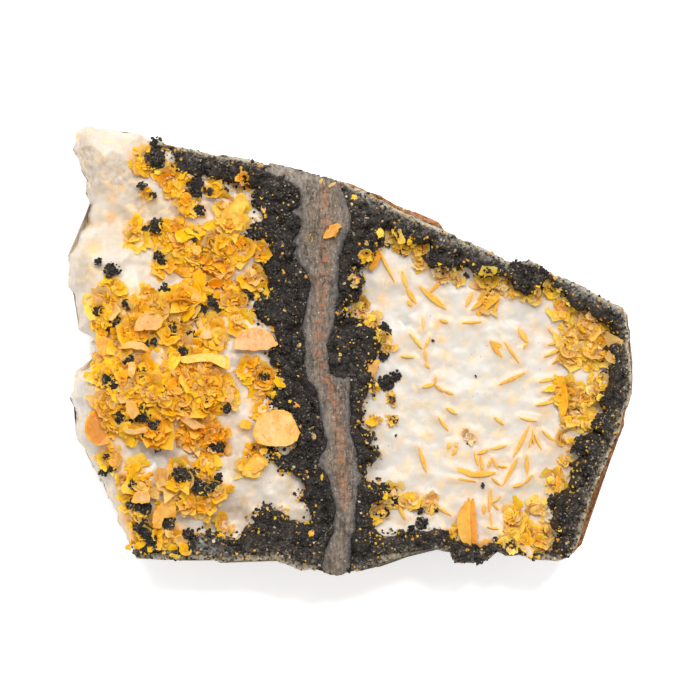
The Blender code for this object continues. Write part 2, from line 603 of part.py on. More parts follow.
# Outlines of the layers
west_calcite_outline = WEST_EDGE + WEST_CALCITE_BORDER
west_crust_outline = NORTH_WEST_EDGE + RIB_WEST_SIDE + SOUTH_WEST_EDGE + WEST_CALCITE_BORDER[::-1]
east_crust_outline = NORTH_EAST_EDGE + EAST_EDGE + SOUTH_EAST_EDGE + RIB_EAST_SIDE_NORTHWARD
rib_outline = RIB_WEST_SIDE[::-1] + RIB_NORTH_END_EASTWARD + RIB_EAST_SIDE_NORTHWARD[::-1] + RIB_SOUTH_END[::-1]
drawn_in_west = [(x * WEST_ROCK_SHRINK, y * WEST_ROCK_SHRINK) for x, y in WEST_EDGE]
slab_outline = (
    drawn_in_west
    + NORTH_WEST_EDGE
    + RIB_NORTH_END_EASTWARD
    + RUSTY_LIP
    + NORTH_EAST_EDGE[5:]
    + EAST_LEDGE
    + EAST_EDGE[-2:]
    + SOUTH_EAST_EDGE
    + RIB_SOUTH_END[::-1]
    + SOUTH_WEST_EDGE
)

# Host rock: the slab, its seat for the thick west calcite, and the rib grown up from it
host = thinned(broken_slab("host_rock", slab_outline, ROCK_TOP, model), SLAB_TRIANGLES)
host.data.materials.append(rock)
seat_outline = moved_in(west_calcite_outline, -GAP / 2)
past_edge = [(x * SEAT_REACH, y * SEAT_REACH) for x, y in seat_outline[: len(WEST_EDGE)]]
seat_outline = past_edge + seat_outline[len(WEST_EDGE) :]
seat = outline_block("seat", seat_outline, WEST_SEAT, ROCK_TOP + 2, cutters)
boolean(host, seat, "DIFFERENCE")
rib = relief_block("rib", (-18, -42), (6, 36), 2.6, ROCK_TOP - 2, rib_surface, cutters)
rib_sides = outline_block("rib_sides", moved_in(rib_outline, GAP / 2), ROCK_TOP - 3, RIB_TOP + 3, cutters)
boolean(rib, rib_sides, "INTERSECT")
boolean(host, rib, "UNION")
tidied(host)

# The four layers that fill the vugs, and the raised copy of each that cuts what rests on it
LAYERS = [
    ("calcite_west", west_calcite_outline, (-52, -38), (-4, 42), 2.7, WEST_SEAT, west_calcite_surface, calcite),
    ("calcite_east", EAST_POCKET, (-1, -38), (48, 22), 3.4, ROCK_TOP, east_calcite_surface, calcite),
    ("black_crust_west", west_crust_outline, (-40, -41), (0, 40), 2.5, ROCK_TOP, crust_surface, black_crust),
    ("black_crust_east", east_crust_outline, (-6, -41), (52, 32), 2.5, ROCK_TOP, crust_surface, black_crust),
]
layers, beds = {}, {}
for name, outline, corner, opposite, cell, seat_height, surface, finish in LAYERS:

    def raised(x, y, surface=surface):
        return surface(x, y) + BED_GAP

    layer = relief_block(name, corner, opposite, cell, seat_height + GAP, surface, model)
    layer.data.materials.append(finish)
    bed = relief_block(name + "_bed", corner, opposite, cell, 2.0, raised, cutters)
    for body, inset in ((layer, GAP / 2), (bed, -GAP / 2)):
        sides = outline_block(body.name + "_sides", moved_in(outline, inset), 0.0, HIGH, cutters)
        boolean(body, sides, "INTERSECT")
        if name == "black_crust_east":
            pocket = outline_block(body.name + "_pocket", moved_in(EAST_POCKET, -inset), -1.0, HIGH + 1, cutters)
            boolean(body, pocket, "DIFFERENCE")
    layers[name], beds[name] = layer, bed
for name, balls in (("black_crust_east", EAST_RIM_LUMPS), ("black_crust_west", WEST_RIM_LUMPS)):
    for lump in ball_shapes(name, balls):
        boolean(layers[name], lump, "UNION")
for layer in layers.values():
    tidied(layer, LAYER_KEPT_SHARE)

# Knobs of crust on the east calcite
for name, balls in KNOBS.items():
    knob = joined(name, ball_shapes(name, balls), black_crust)
    boolean(knob, beds["calcite_east"], "DIFFERENCE")
    tidied(knob)

# Wulfenite: rosettes, lone tablets and standing blades
west_beds = [beds["calcite_west"], beds["black_crust_west"]]
east_beds = [beds["calcite_east"], beds["black_crust_east"]]
for name, rosettes in ROSETTES.items():
    in_west = rosettes[0][0] < 0
    surface = west_calcite_surface if in_west else east_calcite_surface
    rosette_group(name, rosettes, surface, west_beds if in_west else east_beds, wulfenite)
rib_bed = relief_block("rib_bed", (-18, -42), (6, 36), 2.6, 2.0, lambda x, y: rib_surface(x, y) + BED_GAP, cutters)
on_west, on_east, on_rib = (
    (west_calcite_surface, west_beds),
    (east_calcite_surface, east_beds),
    (rib_surface, [rib_bed]),
)
SUPPORTS = {
    "tablet_peach_upper": on_west,
    "tablet_peach_lower": on_west,
    "tablet_orange_standing": on_east,
    "tablet_pale_rib": on_east,
    "tablet_on_rib": on_rib,
}
for name, (x, y, lift, along, across, thickness, tilt, roll, bearing) in TABLETS.items():
    surface, resting_on = SUPPORTS[name]
    floor = surface(x, y)
    turn = Euler((math.radians(tilt), math.radians(roll), math.radians(bearing)), "XYZ")
    place = Matrix.Translation(metres(x, y, floor + lift)) @ turn.to_matrix().to_4x4()
    lone = joined(name, [tablet(name + "_shape", along, across, thickness, place, 0.9)], peach_wulfenite)
    for bed in resting_on:
        boolean(lone, bed, "DIFFERENCE")
    tidied(lone)
for name, (start, end, rise, thickness) in BLADES.items():
    (ax, ay), (bx, by) = start, end
    middle_x, middle_y = (ax + bx) / 2, (ay + by) / 2
    floor = east_calcite_surface(middle_x, middle_y)
    tall = rise + BLADE_ROOT
    place = (
        Matrix.Translation(metres(middle_x, middle_y, floor + rise - tall / 2))
        @ Matrix.Rotation(math.atan2(by - ay, bx - ax), 4, "Z")
        @ Matrix.Rotation(math.radians(90), 4, "X")
    )
    length = math.hypot(bx - ax, by - ay)
    blade = joined(name, [tablet(name + "_shape", length, tall, thickness, place)], wulfenite)
    boolean(blade, beds["calcite_east"], "DIFFERENCE")
    tidied(blade)

for helper in list(cutters.objects):
    bpy.data.objects.remove(helper)
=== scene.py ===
"""The wulfenite plate dressed for its portrait: calcite, black crust, rock, and thin orange tablets.

Lengths are in millimetres until they reach a mesh, where MM turns them to metres. +X is east, +Y is north,
and +Z points out of the vugs at the camera.
"""

import math
import random

import bmesh
import bpy
import numpy as np
from mathutils import Euler, Matrix, Vector, noise


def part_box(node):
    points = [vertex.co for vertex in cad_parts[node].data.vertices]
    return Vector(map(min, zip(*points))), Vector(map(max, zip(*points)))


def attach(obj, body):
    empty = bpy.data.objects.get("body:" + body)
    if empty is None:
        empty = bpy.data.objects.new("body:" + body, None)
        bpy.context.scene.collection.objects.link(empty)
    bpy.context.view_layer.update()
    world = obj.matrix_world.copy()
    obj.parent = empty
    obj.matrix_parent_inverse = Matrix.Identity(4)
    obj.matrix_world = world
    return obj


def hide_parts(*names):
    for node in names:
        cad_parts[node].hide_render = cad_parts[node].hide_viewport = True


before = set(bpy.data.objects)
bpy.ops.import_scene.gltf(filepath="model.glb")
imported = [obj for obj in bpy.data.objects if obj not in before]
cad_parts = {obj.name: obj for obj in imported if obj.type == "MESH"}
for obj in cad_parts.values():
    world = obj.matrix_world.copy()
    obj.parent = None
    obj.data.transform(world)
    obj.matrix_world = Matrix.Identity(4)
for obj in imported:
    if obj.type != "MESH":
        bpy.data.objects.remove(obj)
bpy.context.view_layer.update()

MM = 0.001

# Heights above what the plate rests on, as in the solids
ROCK_TOP = 11.0
RIB_TOP = 18.6
CRUST_FLOOR = 15.4
WEST_CALCITE = 15.6
EAST_CALCITE = 13.6
CROWN = 23.2
WEST_SEAT = 7.2

# Outlines of the plate, clockwise from its south-west corner
WEST_EDGE = [
    (-38.6, -35.6), (-39.6, -33.0), (-41.2, -30.5), (-41.3, -29.0), (-42.4, -27.0), (-43.2, -25.4),
    (-43.5, -24.0), (-44.9, -22.0), (-45.8, -20.4), (-46.8, -18.0), (-48.4, -16.0), (-48.8, -13.8),
    (-48.3, -12.0), (-48.8, -10.2), (-49.8, -8.4), (-49.1, -6.8), (-48.9, -3.9), (-46.6, -3.3),
    (-45.6, -2.3), (-46.1, -0.5), (-46.1, 1.4), (-45.2, 1.7), (-46.2, 2.5), (-48.3, 3.6), (-48.1, 5.6),
    (-48.7, 8.0), (-48.9, 10.0), (-50.0, 11.2), (-49.9, 13.2), (-49.9, 16.8), (-48.4, 19.0), (-48.0, 20.8),
    (-46.7, 22.4), (-46.9, 24.0), (-46.1, 26.0), (-46.9, 28.0), (-46.5, 30.2), (-47.6, 31.8), (-48.2, 34.0),
    (-49.2, 35.4), (-48.6, 37.4), (-48.6, 38.8), (-46.8, 39.7), (-46.0, 39.9), (-45.0, 39.1), (-43.4, 39.4),
    (-40.0, 38.6), (-38.4, 38.7),
]
NORTH_WEST_EDGE = [
    (-36.6, 37.7), (-34.9, 36.7), (-34.2, 37.2), (-33.2, 36.6), (-32.6, 36.0), (-28.0, 35.4), (-24.0, 34.4),
    (-19.0, 33.7), (-15.4, 32.9),
]
NORTH_EAST_EDGE = [
    (-0.9, 29.6), (0.5, 28.7), (3.0, 27.8), (5.0, 26.6), (8.5, 24.7), (12.0, 22.9), (16.0, 21.2),
    (20.0, 19.3), (24.5, 17.5), (26.9, 16.0), (28.0, 15.4), (30.0, 15.3), (31.7, 15.9), (33.2, 15.0),
    (36.0, 13.2), (40.0, 11.6), (44.0, 9.5), (47.9, 7.3),
]
EAST_EDGE = [
    (48.6, 6.4), (48.7, 4.2), (49.2, 2.6), (48.9, 0.9), (49.3, -1.5), (49.6, -4.0), (49.5, -7.6),
    (48.6, -10.4), (47.6, -12.2), (47.6, -13.6), (46.0, -17.2), (44.2, -21.6), (42.4, -26.2), (40.8, -30.8),
    (40.0, -34.4), (38.7, -36.3), (36.6, -37.1), (34.6, -36.8),
]
SOUTH_EAST_EDGE = [
    (32.0, -36.9), (30.2, -36.2), (27.4, -36.2), (25.8, -35.5), (24.4, -37.1), (21.4, -37.6), (18.4, -37.5),
    (17.6, -35.6), (14.0, -35.0), (8.0, -35.6), (5.6, -36.2), (5.2, -38.2), (2.0, -38.8), (-0.2, -39.2),
]
SOUTH_WEST_EDGE = [
    (-6.6, -38.7), (-8.8, -38.8), (-11.0, -37.9), (-13.0, -37.1), (-18.6, -37.1), (-22.8, -37.6),
    (-24.2, -36.9), (-31.0, -37.0), (-37.4, -36.9),
]
EAST_LEDGE = [
    (49.0, 6.2), (49.3, 4.4), (49.6, 2.8), (49.4, 1.0), (49.8, -1.5), (50.0, -4.0), (49.9, -7.8),
    (49.0, -10.4), (48.2, -12.2), (48.5, -13.2), (47.2, -16.6), (45.2, -21.6), (43.5, -26.0), (42.0, -30.4),
    (41.0, -34.2), (39.4, -36.0), (37.0, -37.0), (34.6, -36.9),
]
RUSTY_LIP = [(-0.4, 29.6), (5.4, 27.2), (8.8, 25.3), (11.0, 24.6), (13.2, 23.6), (15.6, 22.5), (16.4, 21.3)]

# Borders inside the plate. The west one runs north to south
WEST_BORDER = [
    (-35.0, 37.4), (-33.4, 35.2), (-31.2, 34.8), (-30.6, 33.6), (-31.0, 31.4), (-29.4, 31.0), (-27.0, 30.4),
    (-25.0, 30.4), (-23.0, 30.0), (-21.6, 28.8), (-20.0, 29.8), (-18.8, 29.4), (-17.4, 28.4), (-17.0, 26.4),
    (-15.4, 24.0), (-15.2, 22.9), (-17.0, 22.0), (-19.0, 20.8), (-19.2, 19.6), (-17.4, 18.9), (-15.4, 19.4),
    (-14.2, 19.4), (-13.5, 17.9), (-14.2, 16.3), (-16.0, 15.0), (-15.0, 13.2), (-14.8, 11.2), (-15.4, 10.0),
    (-17.2, 7.8), (-16.8, 6.4), (-15.6, 5.2), (-14.0, 4.0), (-12.6, 1.2), (-13.9, -0.6), (-13.5, -2.2),
    (-12.5, -3.0), (-13.4, -5.6), (-15.6, -7.4), (-16.3, -8.4), (-13.9, -9.3), (-13.4, -10.6),
    (-11.2, -10.2), (-9.8, -12.2), (-9.0, -14.0), (-9.4, -16.2), (-10.6, -17.1), (-14.0, -16.8),
    (-16.2, -16.5), (-14.5, -18.0), (-14.1, -19.4), (-12.7, -20.2), (-12.3, -21.4), (-10.4, -21.2),
    (-8.0, -22.2), (-8.1, -24.4), (-9.4, -26.2), (-7.2, -26.8), (-6.6, -28.4), (-6.8, -30.4), (-9.4, -30.6),
    (-11.6, -29.2), (-13.6, -27.7), (-15.0, -27.4), (-16.6, -28.6), (-17.0, -30.4), (-18.2, -31.4),
    (-20.2, -33.2), (-22.6, -32.8), (-26.6, -32.4), (-28.4, -33.4), (-30.0, -35.0), (-33.0, -35.3),
    (-37.9, -35.2),
]
RIB_WEST_SIDE = [
    (-15.2, 31.6), (-13.8, 31.0), (-12.0, 30.0), (-10.4, 29.3), (-9.0, 28.4), (-8.5, 26.8), (-8.7, 25.4),
    (-10.4, 23.9), (-8.6, 23.0), (-8.4, 21.8), (-8.9, 20.4), (-10.0, 18.9), (-8.9, 18.2), (-9.4, 17.0),
    (-8.8, 15.6), (-7.6, 14.0), (-6.7, 11.4), (-7.3, 9.6), (-7.7, 7.0), (-8.1, 4.0), (-7.8, 1.0),
    (-7.9, -2.0), (-7.4, -5.2), (-6.4, -6.2), (-5.5, -8.0), (-5.0, -11.0), (-4.6, -14.0), (-4.0, -16.0),
    (-4.6, -18.0), (-5.8, -20.2), (-3.6, -22.0), (-3.2, -25.0), (-2.3, -27.2), (-2.5, -30.0), (-3.2, -33.0),
    (-4.3, -35.6), (-5.0, -38.0),
]
RIB_SOUTH_END = [(-4.6, -39.3), (-2.5, -39.9), (-0.9, -39.6)]
RIB_EAST_SIDE = [
    (-0.4, -38.0), (0.0, -35.0), (0.3, -33.2), (1.0, -31.5), (0.6, -29.2), (1.2, -25.6), (1.6, -22.4),
    (1.1, -20.2), (0.9, -17.0), (0.1, -14.6), (-0.2, -12.2), (0.0, -8.0), (-0.1, -5.0), (-2.4, -5.0),
    (-3.9, -4.2), (-3.8, -2.6), (-4.0, 1.2), (-3.1, 4.0), (-2.7, 7.6), (-2.1, 11.0), (-2.2, 16.0),
    (-1.4, 19.0), (-0.3, 21.0), (0.1, 24.0), (-0.6, 25.8), (-1.2, 27.6),
]
RIB_NORTH_END = [(-14.1, 33.0), (-11.8, 32.6), (-9.6, 32.0), (-6.0, 30.9), (-3.2, 30.3), (-2.0, 29.6)]
EAST_POCKET = [
    (0.2, 8.6), (1.7, 10.4), (2.1, 12.6), (1.2, 13.8), (0.2, 14.6), (3.2, 15.3), (4.5, 16.8), (5.2, 18.8),
    (5.4, 21.6), (6.6, 22.0), (7.7, 20.2), (10.0, 19.2), (14.2, 18.8), (13.4, 16.8), (14.0, 14.6),
    (15.6, 13.9), (18.0, 14.5), (20.2, 15.1), (22.4, 13.3), (24.6, 12.9), (27.0, 13.5), (28.2, 12.0),
    (29.6, 10.2), (32.8, 10.5), (34.4, 12.1), (36.2, 11.8), (37.4, 9.9), (38.7, 7.9), (41.2, 7.4),
    (43.2, 5.8), (45.2, 4.8), (46.6, 3.2), (46.2, 1.0), (45.6, 0.2), (46.3, -1.4), (45.0, -2.9),
    (46.0, -4.2), (45.0, -6.9), (43.9, -8.6), (45.2, -10.9), (44.0, -12.2), (42.2, -12.9), (43.7, -14.6),
    (40.6, -15.7), (39.2, -17.4), (41.6, -18.6), (40.8, -20.0), (38.8, -21.4), (38.9, -23.4), (39.8, -24.6),
    (36.2, -25.6), (36.2, -28.8), (35.5, -31.2), (36.9, -32.8), (35.7, -35.2), (33.4, -36.0), (31.6, -36.6),
    (29.8, -35.6), (27.0, -33.2), (25.0, -34.2), (22.0, -35.0), (18.6, -33.8), (16.2, -31.8), (12.6, -32.0),
    (9.0, -32.5), (6.4, -33.0), (3.5, -32.1), (3.4, -29.2), (3.8, -26.9), (7.2, -25.2), (6.4, -23.9),
    (2.0, -23.3), (1.9, -21.8), (3.2, -19.8), (5.3, -18.0), (3.3, -16.6), (4.0, -14.6), (1.6, -13.6),
    (1.2, -11.8), (2.6, -9.0), (3.3, -6.8), (4.1, -5.0), (3.1, -2.6), (4.8, 0.0), (4.9, 2.8), (3.2, 4.6),
    (1.0, 5.7), (-1.0, 5.6), (-0.8, 7.8),
]

# Swellings of the west calcite and its hollows, as in the solids: x, y, radius, height
WEST_SWELLINGS = [
    (-43.5, 34.5, 6.5, 2.4), (-45.4, 15.5, 6.0, 1.8), (-28.0, 23.5, 8.5, 1.6), (-39.0, 6.0, 8.0, 2.6),
    (-38.5, -8.0, 8.5, 3.6), (-26.0, -6.5, 8.0, 3.8), (-27.0, -23.5, 6.0, 2.4), (-38.5, -24.5, 6.0, 1.4),
    (-18.5, 20.5, 5.0, 1.6), (-16.5, 1.0, 5.0, 1.6), (-13.5, -14.0, 5.5, 1.8), (-16.0, -21.0, 5.0, 0.8),
    (-40.0, 24.0, 4.0, -1.8), (-35.5, -19.5, 3.0, -1.6), (-21.5, -30.5, 3.5, -1.4),
]

# West wulfenite: x, y, radius, crowding, tone from deep orange 0 to pale yellow 1, share of peach tablets
WEST_PATCHES = [
    (-36.2, 33.4, 2.9, 0.9, 0.45, 0.10), (-33.0, 31.3, 2.0, 0.9, 0.50, 0.10),
    (-29.5, 28.2, 3.2, 1.0, 0.45, 0.12), (-36.0, 27.2, 1.3, 0.7, 0.50, 0.10),
    (-26.5, 24.6, 1.9, 0.5, 0.40, 0.10), (-24.0, 29.0, 2.0, 0.8, 0.45, 0.10),
    (-20.8, 23.6, 3.2, 1.0, 0.75, 0.20), (-19.0, 29.4, 1.5, 0.6, 0.25, 0.00),
    (-37.5, 20.5, 2.8, 0.9, 0.55, 0.10), (-30.4, 18.8, 4.6, 1.1, 0.42, 0.08),
    (-24.0, 19.5, 3.2, 1.0, 0.50, 0.12), (-33.3, 14.5, 2.3, 0.8, 0.50, 0.08),
    (-25.5, 14.0, 4.2, 0.9, 0.30, 0.08), (-20.5, 17.5, 2.6, 0.8, 0.55, 0.10),
    (-16.2, 18.0, 1.8, 0.8, 0.45, 0.10), (-17.0, 12.5, 2.4, 0.9, 0.45, 0.15),
    (-21.5, 9.2, 3.1, 0.9, 0.50, 0.20), (-28.0, 9.0, 3.4, 1.0, 0.45, 0.15),
    (-42.6, 9.6, 2.8, 1.0, 0.55, 0.10), (-41.5, 6.0, 4.2, 1.1, 0.50, 0.12),
    (-36.4, 8.4, 2.8, 1.0, 0.45, 0.15), (-31.5, 6.0, 3.2, 1.0, 0.40, 0.12),
    (-25.0, 3.5, 3.4, 0.9, 0.55, 0.25), (-20.2, 4.8, 2.2, 0.8, 0.50, 0.25),
    (-37.6, 2.2, 3.4, 1.1, 0.45, 0.15), (-31.6, 1.6, 2.8, 0.9, 0.45, 0.15),
    (-42.4, -3.6, 3.6, 1.1, 0.50, 0.12), (-37.6, -4.6, 4.0, 1.2, 0.50, 0.12),
    (-41.6, -8.6, 3.6, 1.1, 0.50, 0.12), (-36.2, -8.4, 3.6, 1.1, 0.48, 0.15),
    (-30.6, -2.6, 3.2, 1.0, 0.45, 0.15), (-26.4, -4.0, 4.4, 1.2, 0.42, 0.12),
    (-30.6, -7.6, 3.6, 1.2, 0.40, 0.10), (-23.2, -7.8, 3.6, 1.2, 0.45, 0.12),
    (-27.4, -10.6, 3.8, 1.1, 0.50, 0.20), (-39.6, -12.8, 3.6, 1.0, 0.52, 0.20),
    (-44.2, -12.6, 2.2, 0.8, 0.45, 0.15), (-34.0, -13.6, 3.2, 1.0, 0.25, 0.05),
    (-28.4, -14.6, 2.8, 1.0, 0.15, 0.05), (-24.6, -15.8, 3.2, 1.1, 0.12, 0.05),
    (-15.0, -5.4, 3.2, 1.0, 0.40, 0.15), (-17.0, -2.8, 1.8, 0.8, 0.45, 0.20),
    (-16.4, -10.6, 1.6, 0.8, 0.35, 0.10), (-17.0, -18.0, 1.7, 0.7, 0.40, 0.10),
    (-17.2, -20.6, 2.2, 0.8, 0.60, 0.30), (-30.4, -22.6, 3.0, 1.0, 0.50, 0.20),
    (-26.4, -26.6, 2.8, 1.0, 0.48, 0.20), (-23.4, -24.4, 2.2, 1.0, 0.48, 0.20),
    (-25.6, -20.8, 2.4, 0.9, 0.45, 0.20), (-29.6, -26.0, 2.2, 0.9, 0.50, 0.20),
    (-38.2, -23.2, 3.2, 0.9, 0.50, 0.20), (-42.0, -18.4, 2.2, 0.8, 0.50, 0.25),
    (-38.4, -28.6, 3.0, 0.9, 0.50, 0.20), (-37.4, -33.0, 2.8, 0.8, 0.40, 0.15),
    (-31.4, -33.2, 3.1, 1.0, 0.60, 0.15), (-33.0, -28.4, 2.2, 0.8, 0.30, 0.20),
    (-21.6, -31.6, 1.8, 0.4, 0.45, 0.20),
]

# East wulfenite that grows from the crust's edge: the same six values
EAST_PATCHES = [
    (40.6, 3.4, 3.4, 1.2, 0.42, 0.10), (42.2, -0.6, 3.0, 1.1, 0.40, 0.12),
    (38.6, 0.4, 2.6, 1.1, 0.45, 0.10), (44.0, 3.0, 1.8, 0.9, 0.45, 0.20),
    (37.4, -7.4, 2.2, 1.0, 0.35, 0.10), (41.6, -8.4, 2.6, 1.0, 0.42, 0.12),
    (40.4, -11.8, 2.8, 1.0, 0.40, 0.12), (43.6, -5.4, 1.6, 0.9, 0.42, 0.10),
    (38.4, -16.4, 1.4, 0.8, 0.40, 0.10), (37.8, -19.8, 1.5, 0.9, 0.40, 0.10),
    (36.8, -23.2, 1.9, 0.9, 0.30, 0.15), (33.4, -27.4, 2.2, 0.9, 0.55, 0.20),
    (29.4, -30.4, 2.4, 1.0, 0.38, 0.10), (31.6, -33.0, 2.8, 1.1, 0.42, 0.12),
    (34.6, -31.6, 1.7, 1.0, 0.50, 0.15), (28.0, -33.6, 1.6, 0.9, 0.40, 0.10),
    (23.6, 11.6, 1.8, 1.0, 0.42, 0.15), (26.6, 11.2, 2.0, 1.0, 0.55, 0.25),
    (24.8, 9.2, 1.6, 0.8, 0.45, 0.15), (29.0, 10.0, 1.3, 0.9, 0.35, 0.10),
    (32.4, 9.9, 1.6, 0.9, 0.35, 0.05), (35.6, 10.0, 1.5, 0.9, 0.35, 0.05),
    (37.6, 7.6, 1.7, 1.0, 0.38, 0.08), (12.8, 14.8, 1.3, 0.8, 0.40, 0.10),
    (16.4, 13.3, 1.5, 0.8, 0.60, 0.40), (18.6, 13.7, 1.3, 0.8, 0.45, 0.25),
    (6.4, 19.8, 1.5, 0.9, 0.45, 0.10), (9.4, 18.2, 1.6, 1.0, 0.30, 0.05),
    (12.2, 17.6, 1.5, 0.9, 0.30, 0.05), (3.4, 16.0, 1.3, 0.9, 0.15, 0.00), (1.8, 7.0, 1.5, 0.9, 0.45, 0.45),
    (3.4, 5.6, 1.5, 0.9, 0.45, 0.40), (0.6, 12.0, 0.9, 0.7, 0.45, 0.50), (5.6, 2.6, 1.4, 0.9, 0.42, 0.25),
    (6.8, 0.6, 1.3, 0.8, 0.42, 0.20), (7.2, -8.4, 1.2, 0.9, 0.40, 0.10), (4.4, -6.6, 0.9, 0.8, 0.42, 0.20),
    (7.8, -12.4, 1.0, 0.9, 0.40, 0.10), (4.2, -12.4, 0.9, 0.7, 0.60, 0.10),
    (7.6, -26.4, 1.8, 0.9, 0.42, 0.15), (11.2, -26.8, 1.6, 1.0, 0.38, 0.10),
    (6.0, -29.0, 1.4, 0.8, 0.42, 0.15), (14.2, -27.0, 1.7, 0.9, 0.50, 0.35),
    (17.8, -32.4, 1.0, 0.9, 0.15, 0.00), (20.8, -14.6, 1.3, 0.6, 0.90, 0.20),
]

# Large tablets of the west vug that lie face up. Each: its outline, how far it stands off, tone, share of
# peach, and which way its face leans as degrees about X and about Y
WEST_TABLETS = {
    "upper_peach": ([(-20.6, 0.0), (-20.2, 2.0), (-19.2, 3.3), (-17.5, 3.9), (-15.2, 3.8), (-13.9, 3.0),
        (-13.2, 1.8), (-12.6, 0.9), (-14.5, -0.1), (-17.0, -0.2)], 2.2, 0.85, 1.0, -14, 6),
    "lower_peach": ([(-17.0, -14.5), (-16.8, -15.8), (-15.5, -16.8), (-13.0, -17.0), (-11.0, -17.0),
        (-9.3, -16.0), (-8.8, -14.5), (-9.5, -12.8), (-10.5, -11.0), (-12.0, -10.4), (-14.0, -10.6),
        (-16.4, -12.0)], 1.5, 0.7, 0.75, -10, 4),
    "fan_yellow": ([(-23.5, 21.0), (-23.0, 23.0), (-22.0, 25.0), (-20.5, 25.7), (-20.0, 27.0),
        (-19.0, 27.8), (-18.0, 27.2), (-17.6, 26.0), (-18.8, 24.0), (-18.0, 22.2), (-18.5, 21.0),
        (-20.0, 20.3), (-22.0, 19.5)], 2.2, 0.9, 0.2, 12, -8),
    "peach_dome": ([(-38.0, 3.0), (-37.5, 5.0), (-36.5, 6.5), (-35.0, 7.1), (-33.5, 6.6), (-32.6, 5.5),
        (-33.0, 4.0), (-34.0, 3.2), (-36.0, 3.4)], 3.2, 0.8, 0.9, -26, 4),
    "peach_arc": ([(-40.8, 0.3), (-38.5, 1.7), (-36.0, 1.2), (-34.8, -0.5), (-36.6, 0.1), (-38.8, 0.2)],
        3.4, 0.8, 0.8, -20, 0),
    "brown_tooth": ([(-46.8, -14.0), (-46.5, -12.5), (-45.5, -11.0), (-44.3, -10.2), (-43.3, -11.0),
        (-43.0, -13.0), (-42.6, -15.0), (-41.8, -16.2), (-44.0, -17.0), (-46.0, -15.8)], 2.4, -0.5, 0.15, 4,
        16),
    "west_tooth": ([(-45.0, 2.2), (-44.2, -0.8), (-42.5, -1.0), (-41.0, 0.5), (-41.8, 2.0), (-43.5, 2.4)],
        2.6, 0.2, 0.5, -8, 18),
    "south_hook": ([(-34.8, -30.0), (-34.5, -28.3), (-33.2, -26.8), (-31.8, -25.8), (-30.8, -27.0),
        (-30.4, -28.5), (-31.0, -29.5), (-32.8, -29.5), (-33.2, -31.5), (-34.7, -31.3)], 2.4, 0.2, 0.5, 8,
        10),
    "pale_hexagon": ([(-38.5, -26.7), (-38.0, -25.3), (-37.0, -24.7), (-35.8, -24.8), (-35.0, -25.6),
        (-35.2, -26.8), (-36.5, -27.0)], 2.8, 0.9, 1.0, -6, 4),
    "white_peach": ([(-38.8, -2.2), (-37.7, -2.0), (-37.4, -3.4), (-38.0, -5.0), (-38.9, -4.4)], 4.0, 1.2,
        0.9, -8, 2),
    "teardrop": ([(-39.3, -9.4), (-38.0, -8.8), (-37.2, -9.6), (-36.8, -11.0), (-38.0, -12.3),
        (-39.0, -11.4)], 3.8, 0.9, 0.7, 4, -8),
    "pale_band": ([(-39.8, -13.4), (-38.0, -14.0), (-35.3, -13.3), (-35.6, -14.4), (-38.0, -14.9),
        (-39.6, -14.4)], 3.4, 1.2, 0.8, 10, 0),
    "wedge_peach": ([(-30.0, -12.0), (-29.0, -10.6), (-27.5, -12.0), (-25.0, -13.6), (-27.5, -13.9)], 3.8,
        0.8, 0.9, 6, -6),
    "top_band": ([(-30.0, -1.3), (-25.0, -0.4), (-21.2, -1.1), (-20.9, -3.6), (-22.0, -3.2), (-25.0, -2.0),
        (-29.4, -2.4)], 3.8, 0.95, 0.3, -16, -2),
    "see_through": ([(-19.3, -21.0), (-18.5, -20.0), (-17.5, -18.8), (-16.5, -18.2), (-15.0, -19.0),
        (-14.2, -20.0), (-15.5, -21.0), (-16.0, -22.5), (-17.5, -22.5), (-18.8, -22.0)], 1.7, 0.8, 0.4, 4,
        4),
    "lone_hexagon": ([(-19.6, -13.2), (-19.0, -12.4), (-17.8, -12.3), (-17.1, -13.0), (-17.6, -13.9),
        (-19.0, -13.8)], 1.4, 0.4, 0.2, -10, 6),
    "edge_round": ([(-47.2, 8.8), (-46.6, 9.9), (-45.4, 10.0), (-44.7, 9.0), (-45.2, 7.8), (-46.6, 7.6)],
        1.8, 1.0, 0.4, -10, -14),
    "pale_round": ([(-28.0, 9.3), (-27.5, 10.2), (-26.4, 10.1), (-26.0, 9.2), (-26.8, 8.4), (-27.7, 8.6)],
        3.2, 1.1, 0.5, -6, 4),
    "upper_round": ([(-27.8, 17.6), (-27.2, 18.4), (-26.3, 18.2), (-26.0, 17.4), (-26.6, 16.7),
        (-27.5, 16.8)], 3.4, 1.0, 0.5, 8, -4),
    "south_west_bit": ([(-42.6, -19.8), (-42.0, -19.0), (-41.0, -19.4), (-40.9, -20.4), (-41.8, -20.6)],
        2.2, 0.9, 0.9, 6, 8),
    "white_pink": ([(-26.4, 2.4), (-25.8, 3.6), (-24.6, 3.8), (-24.0, 2.8), (-24.6, 1.8), (-25.8, 1.8)],
        3.2, 1.4, 0.7, -14, 6),
    "foot_yellow": ([(-13.6, -18.6), (-12.8, -17.9), (-12.0, -18.4), (-12.4, -19.2), (-13.2, -19.2)], 1.6,
        0.6, 0.0, 4, 4),
    "foot_pale": ([(-16.0, -17.8), (-15.4, -17.1), (-14.4, -17.4), (-14.6, -18.3), (-15.6, -18.4)], 1.5,
        0.7, 0.1, -6, 2),
}

